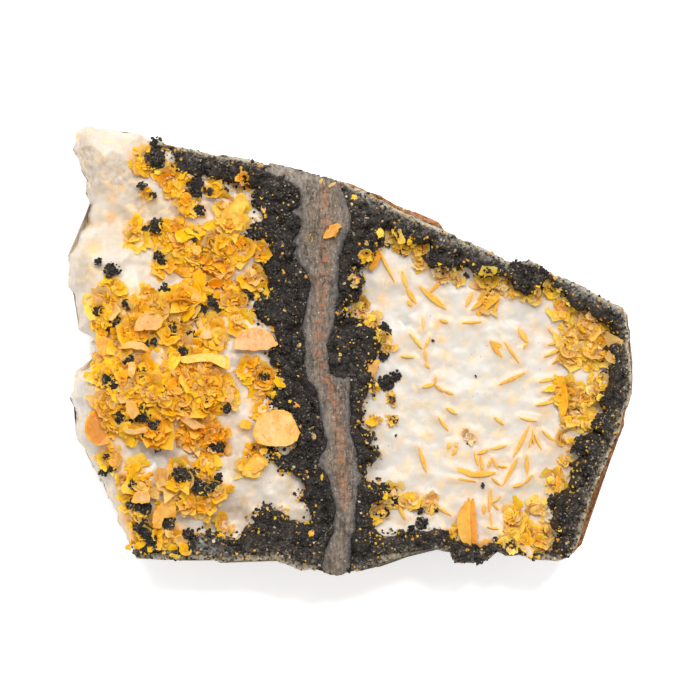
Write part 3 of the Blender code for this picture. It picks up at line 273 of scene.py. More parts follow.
# Tablets of the east vug and of the rib that lie face up, in the same form
EAST_TABLETS = {
    "standing_left": ([(18.7, -30.6), (19.1, -28.9), (20.0, -27.2), (21.0, -26.2), (21.3, -26.3),
        (21.4, -34.8), (20.5, -34.9), (19.3, -33.2)], 2.4, 0.4, 0.45, 2, -6),
    "standing_right": ([(21.0, -26.4), (21.9, -26.2), (22.2, -28.2), (22.3, -31.2), (22.5, -34.6),
        (21.1, -34.9)], 2.2, -0.1, 0.3, 2, -6),
    "peach_foot": ([(22.4, -34.2), (23.6, -33.1), (25.0, -33.6), (24.7, -34.8), (23.2, -35.2)], 2.6, 0.9,
        1.0, 8, 8),
    "peach_corner": ([(3.7, -32.7), (6.3, -32.9), (7.0, -33.8), (8.0, -34.3), (6.4, -35.3), (4.5, -36.0),
        (3.5, -36.0), (3.6, -34.0)], 3.2, 0.85, 1.0, -8, 8),
    "rib_trapezoid": ([(3.1, -2.1), (5.2, -1.7), (4.9, -3.4), (3.9, -5.0), (3.3, -3.8)], 2.8, 0.95, 0.8, 0,
        16),
    "yellow_tooth": ([(2.4, -12.6), (3.8, -11.9), (4.1, -11.0), (4.5, -12.2), (5.0, -13.2), (4.0, -13.5),
        (3.0, -13.2)], 2.4, 0.7, 0.0, 4, 10),
    "olive_plate": ([(3.2, 14.4), (4.2, 16.4), (4.9, 17.6), (5.4, 16.2), (4.6, 14.8), (4.0, 13.8)], 1.6,
        -0.25, 0.0, 6, 22),
    "white_lump": ([(41.4, 6.0), (42.2, 7.0), (43.0, 6.4), (43.6, 5.6), (42.8, 5.2), (41.8, 5.4)], 2.6, 1.5,
        0.3, -8, 8),
    "east_upright": ([(36.2, -4.6), (37.6, -4.4), (38.6, -6.6), (38.8, -9.6), (38.0, -11.8), (36.8, -11.4),
        (36.6, -8.0)], 1.9, 0.35, 0.1, 0, -36),
    "south_east_blade": ([(35.8, -25.0), (36.6, -25.1), (37.6, -21.6), (37.4, -20.4), (36.6, -21.4)], 1.8,
        0.2, 0.3, 0, 30),
    "north_band": ([(22.0, 6.3), (22.9, 5.9), (26.8, 9.4), (26.2, 10.2), (24.0, 8.6)], 1.4, 0.55, 0.2, 22,
        -8),
    "calcite_like": ([(30.4, -34.6), (31.8, -34.4), (32.6, -35.4), (32.0, -36.6), (30.6, -36.4)], 1.6, 1.6,
        0.1, 4, -12),
    "on_rib": ([(-4.8, 19.5), (-4.3, 20.8), (-3.2, 22.0), (-2.2, 22.3), (-1.4, 21.6), (-2.1, 21.0),
        (-2.4, 20.1), (-3.0, 19.8)], 1.2, 0.1, 0.55, 6, 6),
}

# Blades seen on edge in the east calcite: two ends, the width that shows, tone
EAST_BLADES = [
    ((4.8, 18.3), (7.9, 12.0), 0.35, 0.4), ((9.2, 14.0), (10.0, 11.0), 0.55, 0.4),
    ((10.0, 11.0), (11.7, 8.3), 0.6, 0.4), ((12.3, 11.3), (17.0, 7.3), 0.8, 0.4),
    ((18.5, 14.0), (16.6, 12.6), 0.5, 0.15), ((16.6, 12.6), (14.0, 10.2), 0.5, 0.1),
    ((10.2, 8.8), (11.0, 7.8), 0.6, 0.4), ((12.8, 6.0), (12.9, 3.5), 0.4, 0.9),
    ((15.8, 5.4), (17.3, 4.8), 0.4, 0.5), ((10.5, 3.0), (12.8, 0.2), 0.4, 0.6),
    ((14.2, 2.3), (13.2, 0.3), 0.35, 0.6), ((13.2, 0.3), (13.5, -2.0), 0.35, 0.6),
    ((13.2, -2.3), (14.1, -3.2), 0.4, 0.6), ((19.8, 4.8), (23.3, 5.0), 0.35, 0.5),
    ((24.7, 1.6), (27.5, 0.3), 0.6, 0.35), ((24.9, 1.4), (26.9, -1.3), 0.6, 0.35),
    ((27.2, 1.5), (29.9, -2.3), 0.35, 0.4), ((29.6, 3.8), (31.4, 1.3), 0.8, 0.3),
    ((31.3, 1.3), (30.6, 0.2), 0.3, 0.4), ((26.3, -6.2), (31.0, -4.0), 0.5, 0.15),
    ((12.7, -6.7), (15.0, -6.0), 0.5, 0.4), ((15.0, -6.0), (16.6, -7.3), 0.35, 0.1),
    ((16.6, -7.3), (18.4, -8.0), 0.35, 0.1), ((15.2, -4.6), (15.0, -6.0), 0.3, 0.4),
    ((9.0, -1.1), (11.3, -1.3), 0.28, 0.5), ((17.0, -10.2), (18.9, -11.3), 0.45, 0.5),
    ((15.6, -11.9), (17.4, -14.3), 0.35, 0.4), ((17.7, -16.3), (17.3, -17.5), 0.5, 0.4),
    ((18.6, -16.3), (18.9, -17.2), 0.4, 0.4), ((18.9, -17.2), (18.1, -18.6), 0.5, 0.4),
    ((12.3, -17.3), (13.6, -21.6), 0.5, 0.3), ((18.2, -20.8), (23.0, -22.4), 0.75, 0.35),
    ((20.6, -22.1), (25.8, -21.7), 0.8, 0.4), ((16.8, -22.6), (22.3, -23.3), 0.32, 0.1),
    ((22.5, -18.4), (24.5, -17.6), 0.45, 0.3), ((24.5, -17.6), (27.7, -16.8), 0.4, 0.3),
    ((23.0, -18.5), (23.4, -21.5), 0.4, 0.35), ((22.0, -18.0), (22.7, -20.5), 0.35, 0.4),
    ((25.1, -19.0), (24.4, -20.8), 0.35, 0.4), ((25.1, -19.0), (26.2, -21.0), 0.35, 0.4),
    ((26.0, -20.5), (27.8, -20.8), 0.25, 0.4), ((31.8, -13.3), (28.8, -19.0), 0.45, 0.35),
    ((29.7, -19.0), (26.9, -24.2), 0.45, 0.35), ((25.0, -22.5), (26.7, -24.0), 0.3, 0.4),
    ((32.2, -14.0), (32.4, -16.8), 0.28, 0.35), ((32.5, -15.0), (33.9, -17.8), 0.28, 0.35),
    ((32.3, -15.0), (31.7, -17.3), 0.28, 0.35), ((33.9, -14.3), (36.1, -16.3), 0.35, 0.3),
    ((30.0, -12.0), (33.0, -12.6), 0.35, 0.8), ((31.3, -18.5), (31.4, -22.0), 0.5, 0.3),
    ((28.8, -24.2), (30.8, -23.6), 0.35, 0.3), ((30.8, -23.6), (32.3, -22.0), 0.35, 0.3),
    ((25.5, -11.8), (27.2, -13.2), 0.4, 0.5), ((24.9, -24.5), (24.6, -28.7), 0.4, 0.3),
    ((24.9, -28.8), (25.0, -31.7), 0.28, 0.4), ((25.2, -27.0), (26.7, -25.9), 0.3, 0.4),
    ((25.2, -27.0), (26.3, -28.3), 0.3, 0.4), ((23.8, -27.2), (23.6, -29.0), 0.5, 0.35),
    ((24.2, -31.3), (26.3, -31.7), 0.3, 0.35), ((10.2, -25.8), (12.2, -28.0), 0.6, 0.15),
    ((12.5, -25.5), (12.8, -28.2), 0.8, 0.9), ((14.5, -25.6), (13.6, -28.0), 0.8, 0.6),
    ((14.6, -27.0), (14.3, -29.3), 0.6, 0.5), ((15.2, -27.5), (18.0, -29.3), 0.35, 0.35),
    ((8.5, -27.0), (9.8, -30.0), 0.5, 0.4), ((6.5, -26.5), (5.2, -28.0), 0.4, 0.4),
    ((3.3, -23.0), (4.3, -24.2), 0.4, 0.4), ((34.3, -1.3), (38.0, 0.5), 0.4, 0.35),
    ((35.7, -2.5), (38.5, -0.3), 0.35, 0.35), ((35.0, 1.0), (36.5, 1.4), 0.3, 0.4),
    ((35.0, 3.8), (39.3, -0.5), 0.45, 0.35), ((27.0, -32.0), (33.0, -33.5), 0.7, 0.15),
    ((27.3, -30.3), (30.7, -29.8), 0.5, 0.2), ((21.4, 7.0), (24.4, 9.4), 0.6, 0.3),
    ((25.4, 6.4), (26.4, 9.0), 0.4, 0.3), ((21.6, 10.2), (20.4, 7.6), 0.4, 0.4),
    ((33.4, -5.6), (36.4, -5.0), 0.45, 0.4), ((33.8, -7.4), (36.6, -6.6), 0.45, 0.4),
    ((32.8, -9.8), (36.4, -9.0), 0.4, 0.6),
]

# Faint yellow patches where tablets lie deeper in the calcite: x, y, radius, strength
WEST_STAINS = [
    (-42.2, 23.6, 1.1, 0.45), (-41.8, 26.6, 1.0, 0.4), (-40.1, 28.4, 0.8, 0.45), (-45.2, 17.8, 1.3, 0.55),
    (-46.2, 22.4, 0.6, 0.6), (-44.6, 22.3, 0.5, 0.4), (-48.2, 37.8, 0.5, 0.9), (-38.6, 20.6, 1.2, 0.3),
    (-37.6, 23.6, 1.0, 0.3), (-34.6, 20.0, 1.0, 0.35), (-30.6, 14.6, 1.2, 0.3), (-18.6, -26.4, 0.9, 0.3),
]
EAST_STAINS = [
    (5.7, 9.0, 1.0, 0.5), (7.0, 8.2, 0.7, 0.35), (15.4, 4.4, 0.8, 0.7), (16.2, 1.9, 0.8, 0.6),
    (16.7, -0.8, 0.8, 0.5), (19.6, -14.4, 1.6, 0.45), (21.6, -15.4, 1.4, 0.4), (13.6, -15.0, 1.3, 0.35),
    (18.4, -1.8, 0.6, 0.3), (20.6, 1.2, 0.5, 0.3), (22.6, 3.0, 0.5, 0.25), (8.8, -16.0, 0.9, 0.3),
    (10.4, -19.4, 0.8, 0.25), (30.8, -25.4, 0.5, 0.5), (32.2, -25.3, 0.4, 0.5), (34.6, -24.6, 0.6, 0.4),
    (12.0, -9.6, 0.7, 0.3), (21.0, -9.6, 0.6, 0.25), (28.4, -9.0, 0.8, 0.25), (33.0, 3.6, 1.0, 0.3),
    (34.4, -11.2, 1.6, 0.35), (30.0, -16.0, 1.2, 0.25), (20.4, -19.0, 1.2, 0.3), (21.0, -25.6, 1.2, 0.25),
    (16.6, -27.8, 1.4, 0.35), (28.0, -28.4, 1.6, 0.35), (35.8, -17.4, 1.2, 0.3), (7.8, -22.0, 0.8, 0.25),
    (9.2, 2.0, 0.8, 0.3),
]

# Rusty line down the middle of the rib
RIB_SEAM = [
    (-4.4, 28.0), (-4.2, 20.0), (-5.0, 10.0), (-5.6, 0.0), (-2.6, -9.0), (-1.6, -17.0), (-1.0, -27.0),
]

# Lines where the crust is worn pale, and how far each reaches
WORN_LINES = [
    ([(-27.5, -32.5), (-25.0, -34.6), (-23.0, -37.0)], 0.8), ([(2.0, 27.6), (8.0, 24.6)], 0.7),
    ([(16.0, 20.8), (22.0, 18.0), (27.0, 15.8)], 0.7), ([(37.0, 12.6), (43.0, 9.6), (48.0, 7.2)], 0.7),
]

# Glassy grey places of the calcite, and tan places painted as dirt and as the shade of its folds: x, y,
# radius, strength
WEST_GLASS = [
    (-33.0, -21.0, 3.6, 1.0), (-48.0, -9.0, 3.0, 0.9), (-45.4, 0.0, 1.6, 1.0), (-20.2, -1.8, 1.4, 1.0),
    (-28.0, -29.2, 2.0, 0.8), (-34.3, 33.6, 1.8, 0.9), (-22.0, 14.2, 2.4, 0.5),
]
EAST_GLASS = [(10.1, 5.0, 1.6, 0.8), (34.5, -11.5, 2.4, 0.6), (30.0, 5.5, 3.0, 0.3)]
WEST_DIRT_AND_SHADE = [
    (-47.4, 34.6, 2.6, 0.8), (-43.6, 33.4, 2.2, 0.5), (-38.4, 31.6, 3.0, 0.7), (-36.8, 25.4, 2.4, 0.7),
    (-41.6, 28.6, 2.0, 0.6), (-46.4, 29.6, 1.6, 0.7), (-36.0, 18.4, 2.0, 0.5), (-20.6, -27.6, 3.0, 0.4),
]

# Clumps of black crust on the west rosettes and on the east calcite: x, y, radius
WEST_CLUMPS = [
    (-34.2, 36.6, 0.9), (-34.3, 33.6, 1.7), (-36.6, 28.9, 0.7), (-34.7, 27.2, 0.6), (-27.2, 28.4, 1.6),
    (-24.7, 27.9, 0.6), (-22.0, 27.9, 0.6), (-26.5, 24.4, 0.9), (-34.0, 21.8, 1.3), (-35.8, 21.4, 0.7),
    (-27.2, 20.1, 0.9), (-29.9, 19.2, 0.4), (-33.7, 16.4, 0.9), (-33.0, 15.5, 0.6), (-44.2, 15.4, 0.6),
    (-41.7, 14.0, 1.3), (-32.6, 10.7, 0.9), (-26.0, 15.1, 0.4), (-39.5, 8.2, 0.6), (-38.9, 7.2, 0.3),
    (-44.2, 6.9, 0.9), (-41.3, 4.5, 1.3), (-42.3, 3.8, 0.6), (-38.4, 4.5, 0.4), (-44.0, 2.7, 0.3),
    (-25.8, 7.3, 0.6), (-24.2, 8.3, 0.7), (-23.3, 7.4, 0.6), (-24.6, 9.2, 0.4), (-27.3, 5.8, 0.5),
    (-31.3, 3.7, 0.9), (-27.8, 2.5, 0.8), (-29.2, -0.2, 0.9), (-34.3, 1.5, 0.6), (-35.8, 1.1, 0.5),
    (-38.6, -1.7, 0.7), (-39.5, -2.1, 0.4), (-36.5, -4.0, 0.9), (-36.4, -5.2, 0.7), (-42.4, -5.3, 1.1),
    (-41.0, -6.3, 1.0), (-40.5, -7.5, 0.6), (-29.1, -6.0, 0.6), (-30.5, -6.4, 0.4), (-25.4, -9.2, 0.9),
    (-24.3, -8.3, 0.4), (-21.8, -10.2, 0.8), (-40.0, -12.1, 1.1), (-39.3, -12.5, 0.9), (-36.3, -11.9, 1.2),
    (-36.3, -10.0, 0.5), (-34.3, -13.1, 0.8), (-33.7, -12.7, 0.5), (-36.3, -15.1, 0.4), (-33.8, -17.6, 0.5),
    (-29.6, -10.4, 0.4), (-15.0, -4.6, 0.8), (-24.0, -16.8, 1.0), (-22.9, -17.1, 0.8), (-25.0, -17.5, 0.4),
    (-43.3, -21.4, 0.9), (-42.0, -20.9, 0.7), (-42.8, -18.8, 0.5), (-38.4, -23.7, 0.8), (-39.0, -25.0, 0.4),
    (-38.3, -27.2, 0.9), (-37.2, -27.4, 0.8), (-36.0, -27.8, 1.0), (-29.8, -21.8, 1.2), (-28.0, -22.0, 0.9),
    (-27.0, -21.3, 0.5), (-26.5, -24.2, 1.2), (-25.3, -24.8, 0.8), (-24.0, -23.8, 0.9), (-23.0, -22.5, 0.7),
    (-32.0, -30.6, 1.0), (-31.2, -30.0, 0.5), (-36.8, -31.0, 1.2), (-35.8, -32.3, 1.2), (-34.8, -33.5, 0.9),
    (-36.0, -35.0, 0.7), (-34.2, -34.9, 0.6), (-28.5, -32.3, 0.9), (-27.5, -33.5, 0.9), (-26.5, -34.8, 1.0),
    (-18.0, 9.8, 0.8),
]
EAST_CLUMPS = [
    (6.3, -5.7, 1.3), (8.0, -4.6, 0.9), (5.8, 4.0, 0.9), (6.8, 3.2, 0.6), (5.8, -0.9, 0.9),
    (7.4, -8.7, 0.6), (7.9, -12.3, 0.7), (24.8, 9.7, 0.7), (24.4, 11.8, 0.5), (9.8, 17.6, 0.9),
    (6.8, 18.7, 0.5), (20.7, 13.0, 0.3), (39.9, 0.8, 0.6), (41.6, -1.0, 0.3), (45.6, 0.3, 0.6),
    (44.8, -4.2, 0.5), (40.5, -10.2, 0.7), (7.9, -26.8, 0.7), (6.1, -28.6, 0.8), (12.5, -28.4, 0.6),
    (15.1, -28.2, 0.5), (12.6, -30.6, 1.0), (10.9, -31.6, 0.6), (14.6, 1.7, 0.22), (23.6, -23.9, 0.35),
    (22.3, -4.7, 0.18), (20.7, -16.4, 0.18), (8.1, -15.1, 0.2),
]

# Larger smooth lumps of the crusts: x, y, length, width, bearing in degrees
CRUST_LUMPS = [
    (16.5, 16.0, 3.0, 1.5, 8), (24.5, 14.3, 2.4, 1.3, 5), (31.5, 11.7, 2.2, 1.3, 0),
    (31.6, 15.2, 2.2, 1.8, 0), (8.2, 21.7, 2.0, 1.6, 20), (12.5, 20.0, 2.6, 1.6, -10),
    (43.4, -13.4, 2.4, 1.8, -30), (41.0, -16.8, 2.2, 1.5, 10), (44.5, -8.3, 2.4, 2.0, 0),
    (37.6, -26.6, 2.6, 1.8, -20), (7.8, -33.6, 2.0, 1.7, 0), (12.0, -33.2, 2.6, 2.0, 0),
    (14.7, -33.4, 1.6, 1.4, 0), (16.5, -32.8, 2.0, 1.8, 0), (16.4, -35.0, 1.6, 1.4, 0),
    (19.2, -35.4, 2.4, 2.2, 0), (20.8, -35.9, 2.4, 2.0, 0), (19.3, -36.9, 1.8, 1.4, 0),
    (20.8, -36.9, 1.6, 1.4, 0), (23.2, -36.0, 2.2, 1.8, 0), (24.8, -36.0, 1.4, 1.3, 0),
    (26.0, -34.2, 2.0, 1.7, 0), (28.1, -35.0, 2.1, 1.8, 0), (3.4, 17.6, 2.4, 1.8, 60),
    (1.6, 11.8, 2.4, 1.9, 20), (2.0, 20.4, 2.2, 1.6, 0), (3.6, 22.4, 2.4, 1.8, 30),
    (-11.5, 0.5, 2.8, 2.6, 0), (-7.5, -12.5, 2.6, 2.3, 40), (-12.6, 27.0, 2.4, 1.8, 0),
    (-11.2, 22.0, 2.6, 2.0, 50), (-11.6, 16.2, 2.4, 2.0, 0), (-10.2, 11.8, 2.2, 1.8, 10),
    (-10.6, 4.8, 2.6, 2.0, 80), (-11.0, -7.4, 2.4, 1.8, 60), (-8.2, -17.6, 2.6, 2.0, 30),
    (-6.6, -24.8, 2.0, 1.6, 80), (-8.2, -28.8, 2.6, 1.8, 20), (-13.6, -32.6, 2.8, 2.0, 10),
    (-9.6, -35.2, 2.6, 1.8, 0), (47.0, -4.4, 2.4, 1.8, 80), (46.6, -9.4, 2.0, 1.6, 70),
    (42.6, -22.0, 2.4, 1.8, 65), (39.2, -31.2, 2.4, 1.8, 70), (1.8, -16.0, 1.6, 1.3, 90),
    (2.2, -28.6, 1.8, 1.4, 90), (2.0, -34.6, 2.6, 2.2, 0), (3.6, -37.0, 2.2, 1.8, 0),
]

# Clumps heaped on the crust itself: x, y, radius
CRUST_CLUMPS = [
    (15.1, 16.4, 1.4), (17.6, 16.0, 1.3), (22.7, 14.4, 0.8), (24.2, 14.6, 1.1), (25.9, 14.1, 0.8),
    (29.2, 14.6, 1.1), (31.0, 14.1, 1.6), (31.2, 11.6, 1.2), (33.6, 13.6, 1.0), (8.9, 21.2, 0.9),
    (44.7, -8.5, 1.1), (43.6, -12.9, 0.9), (40.9, -17.0, 1.4), (41.8, -20.9, 1.2), (36.2, -26.8, 1.2),
    (37.4, -29.4, 1.2), (37.7, -35.6, 0.9), (27.7, -34.2, 1.2), (26.0, -33.8, 0.8), (7.1, -32.9, 0.9),
    (9.5, -33.3, 0.9), (11.9, -32.9, 1.0), (14.2, -33.2, 0.9), (16.5, -32.9, 1.0), (19.1, -35.4, 1.3),
    (20.1, -36.6, 0.9), (21.8, -35.4, 1.1), (24.2, -35.2, 1.0), (22.7, -36.8, 0.8), (5.1, -24.7, 1.0),
    (3.0, -25.6, 1.1), (4.2, -17.9, 0.9), (0.7, 11.8, 0.8), (-8.6, -11.6, 1.2), (-11.4, -19.6, 0.9),
    (-8.2, -16.4, 1.1), (-6.4, -17.8, 1.2), (-11.7, -10.0, 0.9), (-15.3, -7.9, 0.8), (-14.5, -29.5, 1.2),
    (-15.6, 26.6, 1.5), (-11.4, 28.0, 1.5), (-12.4, 29.5, 1.2), (-16.3, 21.0, 1.3), (-10.3, 23.1, 1.0),
    (-17.0, 19.6, 1.0), (-13.8, 14.3, 1.0), (-15.6, 7.9, 1.1), (-12.8, -1.6, 1.2), (-25.5, 32.6, 1.2),
    (-22.0, 31.4, 1.2), (-19.3, 32.2, 0.9), (-29.9, 34.0, 0.9),
]

# Loose flakes caught on the black crust: x, y, length, width, tone, share of peach
CRUST_FLAKES = [
    (-15.2, 24.7, 1.6, 1.0, 0.9, 1.0), (-16.3, 23.9, 3.2, 0.6, 0.3, 0.2), (-11.7, 25.8, 0.7, 0.5, 0.5, 0.4),
    (-12.8, 23.3, 0.6, 0.4, 0.5, 0.6), (-11.8, 18.3, 0.7, 0.5, 0.6, 0.5), (-11.8, 14.0, 0.7, 0.5, 0.5, 0.6),
    (-11.3, 12.1, 0.6, 0.5, 0.7, 0.7), (-12.8, 8.7, 0.8, 0.5, 0.9, 0.9), (-11.5, 7.0, 0.9, 0.5, 0.9, 0.9),
    (-10.0, 6.4, 0.8, 0.4, 1.0, 0.8), (-9.6, 7.6, 0.5, 0.3, 1.0, 0.8), (-9.1, -4.6, 0.7, 0.5, 0.5, 0.4),
    (-8.8, 0.9, 0.8, 0.6, 0.6, 0.7), (-6.5, -15.2, 1.5, 1.3, 0.8, 1.0), (-6.5, -13.6, 0.7, 0.5, 0.4, 0.2),
    (-9.3, -10.0, 2.3, 1.2, 0.1, 0.2), (-4.9, -22.3, 1.6, 0.6, 0.6, 0.1), (-7.0, 20.2, 0.7, 0.3, 0.4, 0.2),
    (-6.6, 19.4, 1.2, 0.3, 0.4, 0.2), (-7.6, 19.7, 0.3, 0.3, 0.4, 0.2), (-4.0, 17.7, 0.4, 0.3, 0.4, 0.2),
    (-5.2, 29.6, 1.6, 0.8, 0.9, 1.0), (-3.2, 29.0, 1.8, 0.6, 0.9, 1.0), (0.7, 26.8, 1.5, 1.2, 0.75, 0.1),
    (0.3, 25.7, 0.8, 0.5, 1.2, 0.4), (-0.7, 27.0, 0.6, 0.5, 1.5, 0.2), (3.0, 23.2, 1.0, 0.3, 1.5, 0.2),
    (2.9, 18.8, 0.9, 1.2, 0.9, 0.8), (3.0, 2.3, 0.6, 0.4, 1.4, 0.3), (2.2, 0.9, 0.5, 0.4, 1.0, 0.6),
    (0.6, 1.2, 0.4, 0.4, 1.0, 0.6), (0.0, 1.3, 0.4, 0.3, 0.6, 0.4), (1.2, -1.4, 0.5, 0.4, 0.6, 0.5),
    (-1.7, -0.8, 0.8, 0.6, 0.6, 0.1), (-2.1, 2.3, 0.5, 0.4, 0.7, 0.5), (1.7, -26.6, 0.7, 0.5, 1.5, 0.2),
    (2.0, -28.6, 0.6, 0.5, 1.5, 0.2), (9.5, 24.9, 0.6, 0.5, 1.5, 0.2), (-20.0, -33.5, 0.9, 0.6, 0.5, 0.1),
    (-16.0, -32.0, 0.9, 0.6, 0.5, 0.1), (-20.0, -35.8, 0.9, 0.6, 0.4, 0.1),
    (-11.4, -29.0, 2.6, 0.8, 0.6, 0.2), (-7.6, -30.6, 1.6, 1.1, 0.6, 0.1),
    (-6.8, -32.2, 1.6, 1.0, 0.2, 0.2), (-6.4, -33.8, 0.7, 0.5, 1.6, 0.1),
    (-24.0, -33.6, 1.0, 0.8, 1.5, 0.1), (31.6, -35.8, 1.4, 0.8, 1.3, 0.2),
    (33.2, -36.5, 1.2, 0.7, 0.7, 0.1),
]

# Outlines of whole layers, put together from the lines above
RIM = (
    WEST_EDGE + NORTH_WEST_EDGE + RIB_NORTH_END + NORTH_EAST_EDGE + EAST_EDGE + SOUTH_EAST_EDGE
    + RIB_SOUTH_END[::-1] + SOUTH_WEST_EDGE
)
ROCK_RIM = (
    WEST_EDGE + NORTH_WEST_EDGE + RIB_NORTH_END + RUSTY_LIP + NORTH_EAST_EDGE[7:] + EAST_LEDGE
    + SOUTH_EAST_EDGE + RIB_SOUTH_END[::-1] + SOUTH_WEST_EDGE
)
RIB = RIB_WEST_SIDE[::-1] + RIB_NORTH_END + RIB_EAST_SIDE[::-1] + RIB_SOUTH_END[::-1]
WEST_FIELD = WEST_EDGE + WEST_BORDER
WEST_HALF = WEST_EDGE + NORTH_WEST_EDGE + RIB_WEST_SIDE + SOUTH_WEST_EDGE
EAST_HALF = NORTH_EAST_EDGE + EAST_EDGE + SOUTH_EAST_EDGE + RIB_EAST_SIDE
NORTH_RIM = NORTH_WEST_EDGE + NORTH_EAST_EDGE + EAST_EDGE
CLOSED_POCKET = EAST_POCKET + EAST_POCKET[:1]
CLOSED_RIM = RIM + RIM[:1]
CLOSED_ROCK_RIM = ROCK_RIM + ROCK_RIM[:1]

# Further than any point of the plate is from any line
FAR = 1000.0

# Uneven swells of each surface: rise, width, seed
WEST_SWELLS = [(0.7, 6, 3), (0.4, 2.6, 7), (0.16, 1.1, 31)]
EAST_SWELLS = [(0.5, 5, 11), (0.25, 2.2, 13), (0.06, 0.9, 29)]
RIB_SWELLS = [(0.5, 4, 19), (0.25, 0.9, 33), (0.14, 0.35, 37)]
ROCK_SWELLS = [(0.7, 1.6, 43), (0.3, 0.7, 47)]

# Round lumps of the crust in three sizes: rise, width, seed
GRAPES = [(1.5, 3.2, 0), (1.05, 1.5, 5)]
SMALL_GRAPES = (0.34, 0.62, 9)

# Sideways breaks of the inner borders and of the plate's rim, across and along, in the same three values
BORDER_BREAKS = ([(1.1, 2.6, 83), (0.5, 0.9, 89)], [(1.1, 2.6, 97), (0.5, 0.9, 101)])
RIM_BREAKS = ([(0.22, 1.3, 53), (0.14, 0.5, 59)], [(0.22, 1.3, 61), (0.14, 0.5, 67)])
RIM_BREAK_REACH = 1.5

# How fine each surface is meshed
CRUST_CELL = 0.165
CALCITE_CELL = 0.28
RIB_CELL = 0.18
ROCK_CELL = 0.5

# Edges sharper than this stay crisp, in degrees: on tablets and broken rock, and on round balls
SHARP_ANGLE = 17
ROUND_ANGLE = 75

# Grains for each square millimetre of crust
GRAINS_PER_AREA = 2.2

# How far each layer runs under its neighbour, and how far the rib does
TUCK = 1.6
RIB_TUCK = 0.9

# How far a hidden edge stays from the rim, where the layer over it is thick and where its wall stands back
RIM_MARGIN = 0.8
THIN_RIM_MARGIN = 3.0

# How tall one course of a broken wall is, and how much its ledges stand out
WALL_STEP = 0.6
LAYER_LEDGES = 0.35
ROCK_LEDGES = 1.0

# How far the lone tablets stand off, as a share of what their lists give, and how thick they are
LIFT_SHARE = 0.62
LONE_THICKNESS = 0.16

# Crumbs and chips for each millimetre of border, and how far they stray from it
CRUMBS_PER_LENGTH = 4.5
CRUMB_SPREAD = 0.65

# How many different shapes of each kind are copied
TABLET_SHAPES = 28
PETAL_SHAPES = 20
BALL_SHAPES = 8
GRAIN_SHAPES = 10


def over(line, points):
    """Distance from each point to a line of straight stretches, and the nearest point on it."""
    least = np.full(len(points), FAR)
    nearest = points.copy()
    for start, end in zip(np.array(line[:-1]), np.array(line[1:])):
        run = end - start
        share = np.clip((points - start) @ run / max(run @ run, 1e-9), 0, 1)
        foot = start + share[:, None] * run
        gap = np.hypot(*(points - foot).T)
        closer = gap < least
        least[closer] = gap[closer]
        nearest[closer] = foot[closer]
    return least, nearest


def away(line, points):
    """Distance from each point to a line."""
    return over(line, points)[0]


def fade(line, points, reach):
    """1 on a line, fading away from it over its reach."""
    return np.exp(-away(line, points) / reach)


def within(outline, points):
    """Whether each point is inside an outline."""
    x, y = points.T
    odd = np.zeros(len(points), bool)
    for (x0, y0), (x1, y1) in zip(outline, outline[1:] + outline[:1]):
        if y0 != y1:
            odd ^= ((y0 > y) != (y1 > y)) & (x < (x1 - x0) * (y - y0) / (y1 - y0) + x0)
    return odd


def rough(points, width, seed, stretch=(1.0, 1.0)):
    """Uneven swells of one width, from about -1 to 1."""
    across, along = stretch
    return np.array([noise.noise((x * across / width, y * along / width, seed)) for x, y in points])


def swells(points, rows):
    """Sum of swells, one for each rise, width and seed."""
    return sum(rise * rough(points, width, seed) for rise, width, seed in rows)


def domes(points, size, seed):
    """Close-packed round tops, 1 at each middle and 0 between them."""
    nearest = np.array([noise.voronoi(Vector((x / size, y / size, seed)))[0][0] for x, y in points])
    return np.sqrt(np.maximum(0, 1 - np.minimum(1, 1.15 * nearest) ** 2))


def mounds(points, places):
    """Sum of round swellings."""
    total = np.zeros(len(points))
    for x, y, radius, rise in places:
        total += rise * np.exp(-((points[:, 0] - x) ** 2 + (points[:, 1] - y) ** 2) / radius**2)
    return total


def sidestep(points, breaks):
    """Small sideways steps that break up a smooth line, the same for every layer that shares it."""
    return np.stack([swells(points, rows) for rows in breaks], axis=1)


def ragged(points):
    """Where each point stands against a border that is broken up at two scales."""
    return points + sidestep(points, BORDER_BREAKS)


def west_calcite_height(points):
    """Thick folded calcite that rolls over the west edge."""
    folds = 1 - np.abs(2.2 * rough(points, 5.5, 23.0, (1.0, 0.7)))
    return (
        WEST_CALCITE - 0.3 + swells(points, WEST_SWELLS) + 0.45 * folds
        + mounds(points, WEST_SWELLINGS) - 5.0 * fade(WEST_EDGE, points, 1.3)
    )


def east_calcite_height(points):
    """Nearly level calcite, drawn up a little at its border and round each blade."""
    gap = np.min([away([start, end], points) for start, end, _, _ in EAST_BLADES], axis=0)
    return (
        EAST_CALCITE + swells(points, EAST_SWELLS)
        + 0.9 * fade(CLOSED_POCKET, points, 1.5) + 0.3 * np.exp(-((gap / 0.8) ** 2))
    )


def lumps_added(points, height, grain):
    """Adds the larger lumps to a crust's height. They are smoother than what is round them."""
    for x, y, length, width, bearing in CRUST_LUMPS:
        turn = math.radians(bearing)
        across = points - (x, y)
        along = (across[:, 0] * math.cos(turn) + across[:, 1] * math.sin(turn)) / (length / 2)
        aside = (across[:, 1] * math.cos(turn) - across[:, 0] * math.sin(turn)) / (width / 2)
        reach = np.sqrt(along**2 + aside**2)
        swell = np.sqrt(np.maximum(0, 1 - np.minimum(reach, 1) ** 2))
        height = height + np.where(reach < 1, 0.55 * width * swell - 0.2 * grain, 0)
    return height


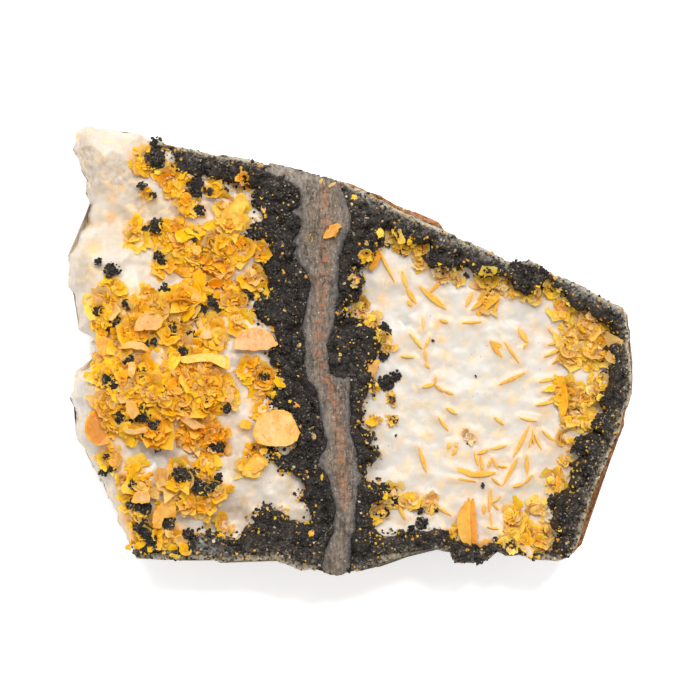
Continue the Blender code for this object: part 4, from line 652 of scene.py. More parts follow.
def crust_height(points, border):
    """Black crust: grape-like lumps in three sizes, rolled over where it meets the calcite."""
    to_rim = np.minimum(away(NORTH_WEST_EDGE, points), away(NORTH_EAST_EDGE + EAST_EDGE, points))
    to_south = np.minimum(away(SOUTH_WEST_EDGE, points), away(SOUTH_EAST_EDGE, points))
    broken = ragged(points)
    edge = away(border, broken)
    signed = np.where(within(WEST_FIELD, broken) | within(EAST_POCKET, broken), -edge, edge)
    beside_rib = points + 0.45 * (broken - points)
    rib_gap = rib_side(beside_rib) * np.where(within(RIB, beside_rib), -1, 1)
    rise, size, seed = SMALL_GRAPES
    grain = domes(points, size, seed)
    height = (
        CRUST_FLOOR + 0.9 * np.exp(-rib_side(points) / 2.2) + 0.9 * np.exp(-to_rim / 3.0)
        - 2.0 * np.exp(-to_south / 1.4) - 1.3 * np.exp(-to_rim / 0.7)
        + sum(tall * domes(points, wide, start) for tall, wide, start in GRAPES)
        + rise * grain + 0.1 * rough(points, 0.3, 41)
    )
    height = lumps_added(points, height, grain)
    height -= 1.4 * np.clip(1 - (rib_gap + 0.1) / 0.7, 0, 2.2) ** 2
    height -= 2.6 * np.clip(1 - (signed + 0.2) / 1.0, 0, 2.2) ** 2
    return np.maximum(height, ROCK_TOP + 0.2)


def any_crust_height(points):
    """The height of whichever crust is there."""
    return crust_height(points, WEST_BORDER + CLOSED_POCKET)


def west_top(points):
    """What the west wulfenite grows on: calcite or crust, whichever is higher."""
    return np.maximum(west_calcite_height(points), any_crust_height(points))


def east_top(points):
    """What the east wulfenite grows on."""
    return np.maximum(east_calcite_height(points), any_crust_height(points))


def rib_side(points):
    """Distance to the nearer side of the rib."""
    return np.minimum(away(RIB_WEST_SIDE, points), away(RIB_EAST_SIDE, points))


def rib_height(points):
    """Streaked rib that falls away at both ends and rounds over at its sides."""
    signed = rib_side(points) * np.where(within(RIB, points), 1, -1)
    streaks = rough(points, 3, 17, (2.4, 0.5))
    return (
        RIB_TOP - 0.3 + 0.5 * streaks + swells(points, RIB_SWELLS)
        - 2.2 * np.exp(-(points[:, 1] + 40) / 3.5)
        - 1.6 * np.exp(-np.maximum(0, 33 - points[:, 1]) / 2.5)
        - 1.1 * np.clip(1 - (signed + 0.5) / 0.9, 0, 2.4) ** 2
    )


def rock_lip(points):
    """Distance to where rock shows outside the crust."""
    return np.minimum(away(RUSTY_LIP, points), away(EAST_LEDGE, points))


def rock_height(points):
    """Level rock under the layers, raised where it shows past them."""
    return ROCK_TOP - 0.4 + 2.9 * np.exp(-((rock_lip(points) / 2.2) ** 2)) + swells(points, ROCK_SWELLS)


def clear_of_rim(points, margin=RIM_MARGIN):
    """Inside the plate, and so far in that a hidden edge has no wall beside another layer's."""
    return within(RIM, points) & (away(CLOSED_RIM, points) > margin)


def covered_grid(outline, covers, cell):
    """A grid over an outline, less the cells that aren't covered and corners that only touch."""
    xs, ys = zip(*outline)
    west, east = min(xs) - TUCK - cell, max(xs) + TUCK + cell
    south, north = min(ys) - TUCK - cell, max(ys) + TUCK + cell
    bm = bmesh.new()
    bmesh.ops.create_grid(
        bm, x_segments=round((east - west) / cell), y_segments=round((north - south) / cell), size=0.5
    )
    bmesh.ops.scale(bm, vec=(east - west, north - south, 1), verts=bm.verts)
    bmesh.ops.translate(bm, vec=((east + west) / 2, (north + south) / 2, 0), verts=bm.verts)
    centres = np.array([face.calc_center_bounds()[:2] for face in bm.faces])
    outside = [face for face, kept in zip(bm.faces, covers(centres)) if not kept]
    bmesh.ops.delete(bm, geom=outside, context="FACES")
    for _ in range(3):
        pinched = [vert for vert in bm.verts if sum(edge.is_boundary for edge in vert.link_edges) > 2]
        bmesh.ops.delete(bm, geom=pinched, context="VERTS")
    return bm


def layer(outline, covers, height, cell, rim, floor, ledges=LAYER_LEDGES):
    """A surface over part of the plate, with walls down to its floor and closed below."""
    bm = covered_grid(outline, covers, cell)
    points = np.array([vert.co[:2] for vert in bm.verts])
    edge = np.array([vert.is_boundary for vert in bm.verts])
    gap, foot = over(rim, points)
    at_rim = edge & (gap < 1.6 * cell)
    points[at_rim] = foot[at_rim]
    near = gap < RIM_BREAK_REACH
    fading = 1 - gap[near] / RIM_BREAK_REACH
    points[near] += (sidestep(points[near], RIM_BREAKS).T * fading).T
    for vert, (x, y), z in zip(bm.verts, points, height(points)):
        vert.co = (x, y, z)
    drop_walls(bm, floor, ledges)
    return bm


def drop_walls(bm, floor, ledges):
    """Carries the edge of a surface down to its floor over broken ledges, and closes it below."""
    edges = [edge for edge in bm.edges if edge.is_boundary]
    inward = inward_ways(edges)
    feet = {vert: vert.co.to_2d() for vert in inward}
    steps = round((max(vert.co.z for vert in inward) - floor) / WALL_STEP)
    for step in range(steps):
        made = bmesh.ops.extrude_edge_only(bm, edges=edges)["geom"]
        verts = [part for part in made if isinstance(part, bmesh.types.BMVert)]
        edges = [part for part in made if isinstance(part, bmesh.types.BMEdge) and part.is_boundary]
        for vert in verts:
            linked = [edge.other_vert(vert) for edge in vert.link_edges]
            above = next(other for other in linked if other in inward)
            inward[vert], feet[vert] = inward[above], feet[above]
        for vert in verts:
            vert.co.z += (floor - vert.co.z) / (steps - step)
            vert.co.xy = feet[vert] + inward[vert] * wall_inset(feet[vert], vert.co.z, floor, ledges)
        for vert in [vert for vert in inward if vert not in verts]:
            del inward[vert], feet[vert]
    bottoms = bmesh.ops.holes_fill(bm, edges=edges, sides=0)["faces"]
    bmesh.ops.poke(bm, faces=bottoms)
    bmesh.ops.recalc_face_normals(bm, faces=bm.faces)


def inward_ways(edges):
    """Which way is in, at each point of an open edge, evened out along it."""
    neighbours = {}
    for edge in edges:
        for vert in edge.verts:
            neighbours.setdefault(vert, []).append(edge.other_vert(vert))
    ways = {}
    for vert in neighbours:
        middles = [face.calc_center_bounds() for face in vert.link_faces]
        ways[vert] = (sum(middles, Vector()) / len(middles) - vert.co).to_2d().normalized()
    for _ in range(4):
        ways = {
            vert: (way + sum((ways[other] for other in neighbours[vert]), Vector((0, 0)))).normalized()
            for vert, way in ways.items()
        }
    return ways


def wall_inset(foot, z, floor, ledges):
    """How far a wall stands back at a height: ledges and cracks, and a foot drawn in on the rock."""
    x, y = foot
    coarse = noise.noise((x / 6, y / 6, z / 2.4 + 71))
    fine = noise.noise((x / 1.3, y / 1.3, z / 0.9 + 73))
    crack = max(0.0, 0.1 - abs(noise.noise((x / 5, y / 5, z / 1.6 + 79)))) * 6
    foot_inset = 2.0 * max(0.0, 1 - z / ROCK_TOP) ** 1.6 if floor == 0 else 0.0
    return max(-0.25, foot_inset + ledges * (0.9 * coarse + 0.35 * fine + crack))


def finished(bm, name, material, sharp=SHARP_ANGLE):
    """Turns a bmesh in millimetres into a piece that rides the plate."""
    bmesh.ops.scale(bm, vec=(MM, MM, MM), verts=bm.verts)
    mesh = bpy.data.meshes.new(name)
    bm.to_mesh(mesh)
    bm.free()
    mesh.polygons.foreach_set("use_smooth", np.ones(len(mesh.polygons), bool))
    mesh.set_sharp_from_angle(angle=math.radians(sharp))
    mesh.materials.append(material)
    piece = bpy.data.objects.new(name, mesh)
    bpy.context.scene.collection.objects.link(piece)
    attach(piece, "root")
    return piece


def painted(piece, name, values):
    """Stores a colour for each point of a piece, worked out from where the point is."""
    mesh = piece.data
    where = np.empty(len(mesh.vertices) * 3)
    mesh.vertices.foreach_get("co", where)
    colours = np.ones((len(mesh.vertices), 4))
    for channel, value in enumerate(values(where.reshape(-1, 3) / MM)):
        colours[:, channel] = np.clip(value, 0, 1)
    mesh.color_attributes.new(name, "FLOAT_COLOR", "POINT").data.foreach_set("color", colours.ravel())


class Finish:
    """A Principled material and the textures that drive it, sized in millimetres."""

    def __init__(self, name, **sockets):
        self.material = bpy.data.materials.new(name)
        self.material.use_nodes = True
        self.tree = self.material.node_tree
        self.shader = self.tree.nodes["Principled BSDF"]
        self.place = self.tree.nodes.new("ShaderNodeTexCoord").outputs["Object"]
        for socket, value in sockets.items():
            self.shader.inputs[socket.replace("_", " ")].default_value = value

    def add(self, kind, inputs, **settings):
        """Adds a node. Each input is a value or the output that feeds it."""
        node = self.tree.nodes.new(kind)
        for setting, value in settings.items():
            setattr(node, setting, value)
        for socket, value in inputs.items():
            if isinstance(value, bpy.types.NodeSocket):
                self.tree.links.new(value, node.inputs[socket])
            else:
                node.inputs[socket].default_value = value
        return node

    def stretched(self, scale):
        """Places drawn out along an axis, where its scale is under 1."""
        return self.add("ShaderNodeMapping", {"Vector": self.place, "Scale": scale}).outputs[0]

    def clouds(self, size, detail=3.0, roughness=0.55, place=None, swirl=0.0):
        """Soft noise of one size."""
        inputs = {
            "Vector": place or self.place, "Scale": 1 / (size * MM), "Detail": detail,
            "Roughness": roughness, "Distortion": swirl,
        }
        return self.add("ShaderNodeTexNoise", inputs).outputs["Fac"]

    def grains(self, size, output="Distance"):
        """Close-packed cells of one size."""
        inputs = {"Vector": self.place, "Scale": 1 / (size * MM)}
        return self.add("ShaderNodeTexVoronoi", inputs).outputs[output]

    def sharpened(self, value, low, high, start=0.0, end=1.0):
        """Spreads what lies between two levels over the whole range, and cuts off the rest."""
        inputs = {"Value": value, "From Min": low, "From Max": high, "To Min": start, "To Max": end}
        return self.add("ShaderNodeMapRange", inputs).outputs[0]

    def patches(self, size, detail, low, high, start=0.0, end=1.0):
        """Cloud-shaped patches with an edge between two levels."""
        return self.sharpened(self.clouds(size, detail), low, high, start, end)

    def times(self, first, second):
        """One value times another."""
        return self.add("ShaderNodeMath", {0: first, 1: second}, operation="MULTIPLY").outputs[0]

    def between(self, share, first, second, blend="MIX"):
        """The first colour turned to the second by a share."""
        node = self.add("ShaderNodeMix", {}, data_type="RGBA", blend_type=blend)
        for index, value in ((0, share), (6, first), (7, second)):
            if isinstance(value, bpy.types.NodeSocket):
                self.tree.links.new(value, node.inputs[index])
            else:
                node.inputs[index].default_value = value
        return node.outputs[2]

    def stored(self, name):
        """A colour that is painted on the piece."""
        return self.add("ShaderNodeAttribute", {}, attribute_name=name).outputs["Color"]

    def channels(self, name):
        """The three values that a painted colour holds."""
        return self.add("ShaderNodeSeparateColor", {"Color": self.stored(name)}).outputs

    def relief(self, height, depth, strength=1.0, after=None):
        """Small bumps of a depth in millimetres, over those that came before."""
        inputs = {"Height": height, "Distance": depth * MM, "Strength": strength}
        if after is not None:
            inputs["Normal"] = after
        return self.add("ShaderNodeBump", inputs).outputs[0]

    def feed(self, socket, value):
        """Leads a result to the material's own socket."""
        self.tree.links.new(value, self.shader.inputs[socket])


def srgb(red, green, blue):
    """A colour as a picture editor gives it, turned to the shader's own scale."""
    shares = [channel / 255 for channel in (red, green, blue)]
    linear = [share / 12.92 if share < 0.0404 else ((share + 0.055) / 1.055) ** 2.4 for share in shares]
    return (*linear, 1.0)


# Colours of the calcite, of what stains it, and the tan painted as dirt and as shade
GLASSY_GREY = srgb(186, 184, 182)
# Tan of dirt, and of painted shade in folds, down the west edge and beside the crust
TAN_DIRT_AND_SHADE = srgb(176, 150, 124)
DARK_SPECK = srgb(92, 84, 76)
HONEY_HAZE = srgb(250, 214, 150)
PALE_STAIN = srgb(252, 196, 84)
DEEP_STAIN = srgb(250, 172, 36)

# Colours of the black crust and of the grains on it
CRUST_BLACK = srgb(25, 22, 20)
CRUST_BROWN = srgb(56, 48, 41)
CRUST_GREY = srgb(84, 81, 78)
TAN_SHADE = srgb(120, 104, 84)
TAN_LIGHT = srgb(196, 184, 164)
LIP_TAN = srgb(192, 178, 150)
WORN_GREY = srgb(168, 164, 158)
GRAIN_SHADE = srgb(60, 54, 48)
KNOB_BLACK = np.array(srgb(40, 40, 42))

# Colours of the rib
RIB_SHADE = srgb(68, 58, 50)
RIB_BROWN = srgb(134, 117, 100)
RIB_STREAK = srgb(152, 136, 118)
RIB_SIDE_GREY = srgb(92, 93, 94)
RIB_RUST = srgb(160, 104, 66)
RIB_PALE_END = srgb(150, 141, 130)
RIB_SPECK = srgb(190, 182, 170)

# Colours of the host rock
ROCK_GREY = srgb(96, 88, 82)
ROCK_BROWN = srgb(140, 122, 104)
ROCK_WARM = srgb(150, 110, 80)
RUST_SHADE = srgb(146, 92, 50)
RUST_LIGHT = srgb(202, 142, 88)
ROCK_SPECK = srgb(196, 186, 172)

# Colours of the wulfenite that lie over each tablet's own
AMBER_CLOUD = srgb(255, 216, 120)
AMBER_SHADE = srgb(244, 198, 124)
AMBER_ZONE = srgb(246, 196, 120)


def calcite_finish(name, clean, shade):
    """Milky calcite: the stored channels are yellow stain, tan dirt mixed with painted shade, and glassy
    grey.
    """
    look = Finish(name, Roughness=0.38, Subsurface_Weight=0.35, IOR=1.5, Subsurface_Scale=0.0012)
    look.shader.inputs["Subsurface Radius"].default_value = (1.0, 0.9, 0.8)
    stain, dirt_and_shade, glass = look.channels("ground")[:3]
    colour = look.between(look.patches(4.5, 4, 0.35, 0.7), clean, shade)
    colour = look.between(look.times(glass, look.patches(1.8, 3, 0.3, 0.6)), colour, GLASSY_GREY)
    # Tan dirt and painted shade, laid where the second stored channel is high
    colour = look.between(look.times(dirt_and_shade, look.patches(1.1, 5, 0.38, 0.62)), colour, TAN_DIRT_AND_SHADE)
    yellow = look.between(look.patches(1.4, 3, 0.4, 0.65), PALE_STAIN, DEEP_STAIN)
    colour = look.between(stain, colour, yellow)
    specks = look.sharpened(look.grains(1.3), 0.075, 0.055)
    colour = look.between(look.times(specks, look.patches(7, 2, 0.46, 0.54)), colour, DARK_SPECK)
    haze = look.times(look.sharpened(look.clouds(2.2, 5, 0.6, None, 0.8), 0.52, 0.68), 0.6)
    colour = look.between(haze, colour, HONEY_HAZE)
    look.feed("Base Color", colour)
    look.feed("Roughness", look.sharpened(glass, 0, 1, 0.42, 0.16))
    soft = look.relief(look.clouds(1.6, 4), 0.25, 0.4)
    look.feed("Normal", look.relief(look.clouds(0.3, 3), 0.03, 0.25, soft))
    return look.material


def crust_finish():
    """Black botryoidal crust: the stored channels are nearness to a rim, where grains gather, and wear."""
    look = Finish("Black crust", Roughness=0.6, IOR=1.4)
    rim, worn = look.channels("wear")[:2]
    colour = look.between(look.patches(1.6, 4, 0.35, 0.68), CRUST_BLACK, CRUST_BROWN)
    colour = look.between(look.sharpened(look.grains(0.34), 0.18, 0.02), colour, CRUST_GREY)
    tan = look.between(look.grains(0.3, "Color"), TAN_SHADE, TAN_LIGHT)
    scattered = look.times(look.patches(2.2, 3, 0.44, 0.6, 0.05, 0.8), look.patches(0.42, 2, 0.58, 0.64))
    colour = look.between(scattered, colour, tan)
    colour = look.between(look.times(rim, look.patches(0.5, 3, 0.47, 0.58)), colour, tan)
    lip = look.times(look.sharpened(rim, 0.5, 0.85), look.patches(0.8, 4, 0.38, 0.52))
    colour = look.between(lip, colour, LIP_TAN)
    colour = look.between(look.times(worn, look.patches(0.9, 3, 0.42, 0.6)), colour, WORN_GREY)
    look.feed("Base Color", colour)
    look.feed("Roughness", look.patches(0.7, 3, 0.3, 0.7, 0.48, 0.8))
    lumps = look.relief(look.grains(0.42), 0.2, 0.9)
    look.feed("Normal", look.relief(look.clouds(0.16, 3), 0.07, 0.8, lumps))
    return look.material


def rib_finish():
    """Worn grey-brown rock: streaks run along the rib, blue-grey at its sides and rusty down its middle."""
    look = Finish("Worn rib", Roughness=0.62)
    side, rust, pale = look.channels("wear")[:3]
    along = look.stretched((1.0, 0.3, 1.0))
    broad = look.sharpened(look.clouds(1.1, 6, 0.65, along, 1.4), 0.38, 0.62)
    colour = look.between(broad, RIB_SHADE, RIB_BROWN)
    fine = look.sharpened(look.clouds(0.4, 4, 0.6, along, 0.8), 0.52, 0.66)
    colour = look.between(fine, colour, RIB_STREAK)
    colour = look.between(look.times(side, look.patches(1.0, 4, 0.35, 0.6)), colour, RIB_SIDE_GREY)
    rusty = look.sharpened(look.clouds(0.5, 5, 0.6, along), 0.46, 0.62)
    colour = look.between(look.times(rust, rusty), colour, RIB_RUST)
    bleached = look.sharpened(look.clouds(1.2, 5, 0.6, None, 1.5), 0.4, 0.6)
    colour = look.between(look.times(pale, bleached), colour, RIB_PALE_END)
    colour = look.between(look.patches(0.45, 3, 0.66, 0.72), colour, RIB_SPECK)
    look.feed("Base Color", colour)
    grit = look.relief(look.clouds(0.6, 6, 0.65, along), 0.3, 0.7)
    look.feed("Normal", look.relief(look.grains(0.3), 0.08, 0.6, grit))
    return look.material


def rock_finish():
    """Broken host rock: grey-brown with rust. The stored channel is how near a rusty lip is."""
    look = Finish("Host rock", Roughness=0.72)
    colour = look.between(look.patches(5, 5, 0.36, 0.62), ROCK_GREY, ROCK_BROWN)
    colour = look.between(look.patches(2.4, 5, 0.5, 0.62), colour, ROCK_WARM)
    rust = look.between(look.patches(0.7, 4, 0.38, 0.62), RUST_SHADE, RUST_LIGHT)
    colour = look.between(look.channels("wear")[0], colour, rust)
    colour = look.between(look.patches(0.5, 4, 0.6, 0.68), colour, ROCK_SPECK)
    look.feed("Base Color", colour)
    coarse = look.relief(look.clouds(1.6, 6, 0.65), 0.7, 0.8)
    look.feed("Normal", look.relief(look.grains(0.5), 0.12, 0.6, coarse))
    return look.material


def grain_finish():
    """Loose grains of the crust: the stored colour is each grain's own."""
    look = Finish("Crust grains", Roughness=0.6, IOR=1.4)
    shaded = look.between(look.patches(0.3, 3, 0.35, 0.7, 0.0, 0.5), look.stored("tint"), GRAIN_SHADE)
    look.feed("Base Color", shaded)
    look.feed("Normal", look.relief(look.clouds(0.12, 3), 0.05, 0.8))
    return look.material


def wulfenite_finish():
    """Resinous amber tablets: the stored colour is each tablet's own, with a painted highlight on its rims,
    and cloudy zones across it.
    """
    look = Finish(
        "Wulfenite", Roughness=0.3, IOR=1.5, Specular_IOR_Level=0.15,
        Subsurface_Weight=0.4, Subsurface_Scale=0.0007,
    )
    look.shader.inputs["Subsurface Radius"].default_value = (1.0, 0.85, 0.4)
    cloudy = look.times(look.patches(0.9, 3, 0.35, 0.68), 0.08)
    colour = look.between(cloudy, look.stored("tint"), AMBER_CLOUD)
    small = look.times(look.patches(0.6, 3, 0.5, 0.68), 0.55)
    colour = look.between(small, colour, AMBER_SHADE, "MULTIPLY")
    broad = look.times(look.patches(2.6, 3, 0.42, 0.66), 0.4)
    colour = look.between(broad, colour, AMBER_ZONE, "MULTIPLY")
    look.feed("Base Color", colour)
    look.feed("Roughness", look.patches(0.8, 2, 0.3, 0.7, 0.14, 0.4))
    lines = look.relief(look.clouds(0.5, 4, 0.6, look.stretched((1.0, 0.35, 0.6))), 0.09, 0.6)
    look.feed("Normal", look.relief(look.clouds(0.14, 2), 0.02, 0.5, lines))
    return look.material


# Wulfenite tones from brown-orange to white, and the peach that faces catch
TONES = [
    (-0.5, srgb(208, 136, 56)), (0.0, srgb(252, 158, 6)), (0.4, srgb(255, 188, 8)),
    (0.7, srgb(255, 206, 42)), (1.0, srgb(255, 210, 100)), (1.5, srgb(238, 226, 206)),
    (1.8, srgb(224, 218, 210)),
]
PEACH = srgb(220, 174, 122)

# Painted highlight on rims: what the rims of small tablets and of the lone ones turn to, and how far
RIM_HIGHLIGHT = srgb(255, 220, 128)
RIM_HIGHLIGHT_SHARE = 0.3
LONE_RIM_HIGHLIGHT = srgb(252, 178, 48)
LONE_RIM_HIGHLIGHT_SHARE = 0.6

# Loose grains of the crust: dark ones, and tan ones that gather near its rim
GRAIN_TONES = [srgb(40, 35, 31), srgb(60, 52, 44), srgb(25, 22, 20)]
TAN_TONES = [
    srgb(166, 144, 112), srgb(206, 190, 160), srgb(132, 112, 84), srgb(222, 156, 58), srgb(226, 168, 70),
]


def toned(tone, peach):
    """A tablet's colour: its tone between two of TONES, and how far it turns to peach."""
    tone = min(max(tone, TONES[0][0]), TONES[-1][0])
    for (low, first), (high, second) in zip(TONES, TONES[1:]):
        if tone <= high:
            share = (tone - low) / (high - low)
            break
    colour = np.array(first) * (1 - share) + np.array(second) * share
    return colour * (1 - peach) + np.array(PEACH) * peach


# How far out the rim of a small shape begins, as a share of it
RIM_FROM = 0.66

# Which faces of each small shape catch light as its rim
RIM_FACES = {}


def tablet_shape(draw, sides, chips, curl):
    """One thin tablet of width 2, its edge chipped and its face stepped and dished."""
    bm = bmesh.new()
    bmesh.ops.create_circle(bm, cap_ends=True, segments=sides, radius=1.0)
    swing = draw.uniform(0, 9)
    for vert in bm.verts:
        square = 1 - 0.12 * abs(math.sin(2 * math.atan2(vert.co.y, vert.co.x) + swing))
        vert.co *= square * (1 - chips * draw.random() ** 2.5)
    bmesh.ops.scale(bm, vec=(1.0, draw.uniform(0.6, 0.95), 1.0), verts=bm.verts)
    bmesh.ops.recalc_face_normals(bm, faces=bm.faces)
    upper = bmesh.ops.extrude_face_region(bm, geom=bm.faces[:])["geom"]
    top = [part for part in upper if isinstance(part, bmesh.types.BMVert)]
    bmesh.ops.translate(bm, vec=(0, 0, 0.065), verts=top)
    bmesh.ops.recalc_face_normals(bm, faces=bm.faces)
    cap = [face for face in bm.faces if len(face.verts) == sides and face.calc_center_bounds().z > 0.05]
    bmesh.ops.inset_individual(bm, faces=cap, thickness=0.06, depth=0.02, use_even_offset=False)
    step = draw.choice((0.02, -0.03))
    bmesh.ops.inset_individual(bm, faces=cap, thickness=0.3, depth=step, use_even_offset=False)
    bmesh.ops.poke(bm, faces=cap)
    for vert in bm.verts:
        wave = noise.noise((vert.co.x * 1.1, vert.co.y * 1.1, swing))
        vert.co.z += curl * vert.co.x**2 + 0.24 * wave
    # The outer side faces are the ones that get the painted rim highlight
    return stored_shape(
        bm, lambda face: len(face.verts) == 4 and face.calc_center_median().xy.length > RIM_FROM
    )


def petal_shape(draw, arc, lean):
    """A thin curved sheet that stands on its foot and leans out from a middle, with a ragged top."""
    bm = bmesh.new()
    bmesh.ops.create_grid(bm, x_segments=8, y_segments=2, size=0.5)
    seed = draw.uniform(0, 40)
    for vert in bm.verts:
        along, up = vert.co.x * 2, vert.co.y + 0.5
        rise = up * (1 - 0.6 * abs(along) ** 3) * (1 + 0.8 * noise.noise((along * 3.1, seed, 0)))
        out = 1 + lean * rise + 0.2 * noise.noise((along * 1.6, up, seed))
        vert.co = (out * math.cos(along * arc / 2), out * math.sin(along * arc / 2), rise)
    bmesh.ops.solidify(bm, geom=bm.faces[:], thickness=0.05)
    bmesh.ops.recalc_face_normals(bm, faces=bm.faces)
    # The top of each sheet gets the painted rim highlight
    return stored_shape(bm, lambda face: face.calc_center_median().z > RIM_FROM)


def knob_shape(draw, subdivisions):
    """One ball of crust, a little out of round."""
    bm = bmesh.new()
    bmesh.ops.create_icosphere(bm, subdivisions=subdivisions, radius=1.0)
    seed = draw.uniform(0, 50)
    for vert in bm.verts:
        vert.co *= 1 + 0.4 * noise.noise(vert.co * 1.5 + Vector((seed, 0, 0)))
    return stored_shape(bm)


def stored_shape(bm, is_rim=lambda face: False):
    """A small shape to be copied, with a note of the faces that catch light as its rim."""
    mesh = bpy.data.meshes.new("shape")
    RIM_FACES[mesh.name] = np.array([is_rim(face) for face in bm.faces])
    bm.to_mesh(mesh)
    bm.free()
    return mesh


class Cluster:
    """Many copies of a few small shapes that end up as one piece, each with its own colour."""

    def __init__(self):
        self.bm = bmesh.new()
        self.placed = []

    def put(self, shape, matrix, colour):
        """Adds one copy."""
        copy = shape.copy()
        copy.transform(matrix)
        self.bm.from_mesh(copy)
        bpy.data.meshes.remove(copy)
        self.placed.append((shape.name, colour))

    def piece(self, name, material, rim_highlight=RIM_HIGHLIGHT, rim_highlight_share=RIM_HIGHLIGHT_SHARE, sharp=SHARP_ANGLE):
        """Turns all copies into one piece. What stands over the crown is pressed down to half."""
        bmesh.ops.recalc_face_normals(self.bm, faces=self.bm.faces)
        for vert in self.bm.verts:
            vert.co.z -= 0.5 * max(0.0, vert.co.z - CROWN)
        made = finished(self.bm, name, material, sharp)
        mesh = made.data
        counts = np.empty(len(mesh.polygons), int)
        mesh.polygons.foreach_get("loop_total", counts)
        # Faces of each copy's rim get a painted highlight mixed into its own colour
        glow = rim_highlight_share * np.array(rim_highlight)
        faces = np.concatenate([
            np.where(RIM_FACES[shape][:, None], (1 - rim_highlight_share) * colour + glow, colour)
            for shape, colour in self.placed
        ])
        tint = mesh.color_attributes.new("tint", "FLOAT_COLOR", "CORNER")
        tint.data.foreach_set("color", np.repeat(faces, counts, axis=0).ravel())
        return made


def standing(x, y, z, lean, facing, spin, size):
    """Places a tablet: lean from lying flat, the way its face looks, and its turn in its own plane."""
    return (
        Matrix.Translation((x, y, z)) @ Matrix.Rotation(facing, 4, "Z") @ Matrix.Rotation(lean, 4, "Y")
        @ Matrix.Rotation(spin, 4, "Z") @ Matrix.Diagonal((size, size, size, 1))
    )


def tumbled(draw):
    """A random turn about all three axes."""
    return Euler([draw.uniform(0, math.tau) for _ in range(3)]).to_matrix().to_4x4()


def spread_round(x, y, spots):
    """Places from distances and bearings round a middle."""
    return np.array([(x + out * math.cos(way), y + out * math.sin(way)) for out, way in spots])


def grow_rosette(cluster, patch, draw, shapes, ground, dense, largest):
    """Fills a patch with tablets: flat ones as a bed, and others that stand round its middle."""
    x, y, radius, crowding, tone, peach = patch
    count = max(4, round(dense * crowding * radius**2))
    spots = [(radius * math.sqrt(draw.random()), draw.uniform(0, math.tau)) for _ in range(count)]
    places = spread_round(x, y, spots)
    for (out, bearing), (px, py), level in zip(spots, places, ground(places)):
        share = out / radius
        size = draw.triangular(0.3, 1.0, 0.5) * min(largest, 0.45 * radius + 0.7) * (1.1 - 0.25 * share)
        bed = draw.random() < 0.45
        lean = math.radians(draw.uniform(2, 20) if bed else draw.triangular(10, 66, 26))
        turned = draw.gauss(0, 40) if bed else draw.choice((-1, 1)) * draw.gauss(48, 34)
        pale = draw.random() < peach + 0.06
        own_tone = tone + draw.gauss(0, 0.15) + (0.25 if pale else 0)
        colour = toned(own_tone, draw.uniform(0.5, 0.95) if pale else 0.0) * draw.uniform(0.92, 1.06)
        rise = 0.15 if bed else 0.4 * size * math.sin(lean)
        rise += 1.0 * crowding * (1 - share**2) * draw.uniform(0.1, 1.0)
        shape = draw.choice(shapes)
        facing = bearing + math.radians(turned)
        where = standing(px, py, level + rise, lean, facing, draw.uniform(0, math.tau), size)
        cluster.put(shape, where, colour)


def grow_petals(cluster, patch, draw, shapes, ground):
    """Sets small roses of curved sheets in a patch, each wrapped round its own middle."""
    x, y, radius, crowding, tone, peach = patch
    for _ in range(max(1, round(crowding * radius**2 / 3.2))):
        out, way = 0.72 * radius * math.sqrt(draw.random()), draw.uniform(0, math.tau)
        middle = (x + out * math.cos(way), y + out * math.sin(way))
        if not clear_of_rim(np.array([middle]), 0.6 + 0.5 * radius)[0]:
            continue
        rose = min(draw.uniform(1.0, 2.2), 0.72 * radius)
        rows = [(rose * draw.uniform(0.25, 1.0), draw.uniform(0, math.tau)) for _ in range(8)]
        for (reach, turn), level in zip(rows, ground(spread_round(*middle, rows))):
            height = draw.uniform(0.7, 1.5) * min(1.0, 0.45 + 0.3 * radius) * (1.15 - 0.3 * reach / rose)
            tilt = Euler((draw.gauss(0, 0.2), draw.gauss(0, 0.2), 0)).to_matrix().to_4x4()
            pale = draw.random() < peach + 0.05
            colour = toned(tone + draw.gauss(0.05, 0.14), draw.uniform(0.5, 0.9) if pale else 0.0)
            foot = Matrix.Translation((*middle, level + 0.25 * crowding))
            where = foot @ tilt @ Matrix.Rotation(turn, 4, "Z")
            size = Matrix.Diagonal((reach, reach * draw.uniform(0.9, 1.3), height, 1))
            cluster.put(draw.choice(shapes), where @ size, colour * draw.uniform(0.88, 1.06))


def strayed(place, shift):
    """How far an outline strays at a place, broken at two scales."""
    aside = Vector((0, 0, shift))
    return 0.2 * noise.noise(place * 1.9 + aside) + 0.14 * noise.noise(place * 4.7 + aside)


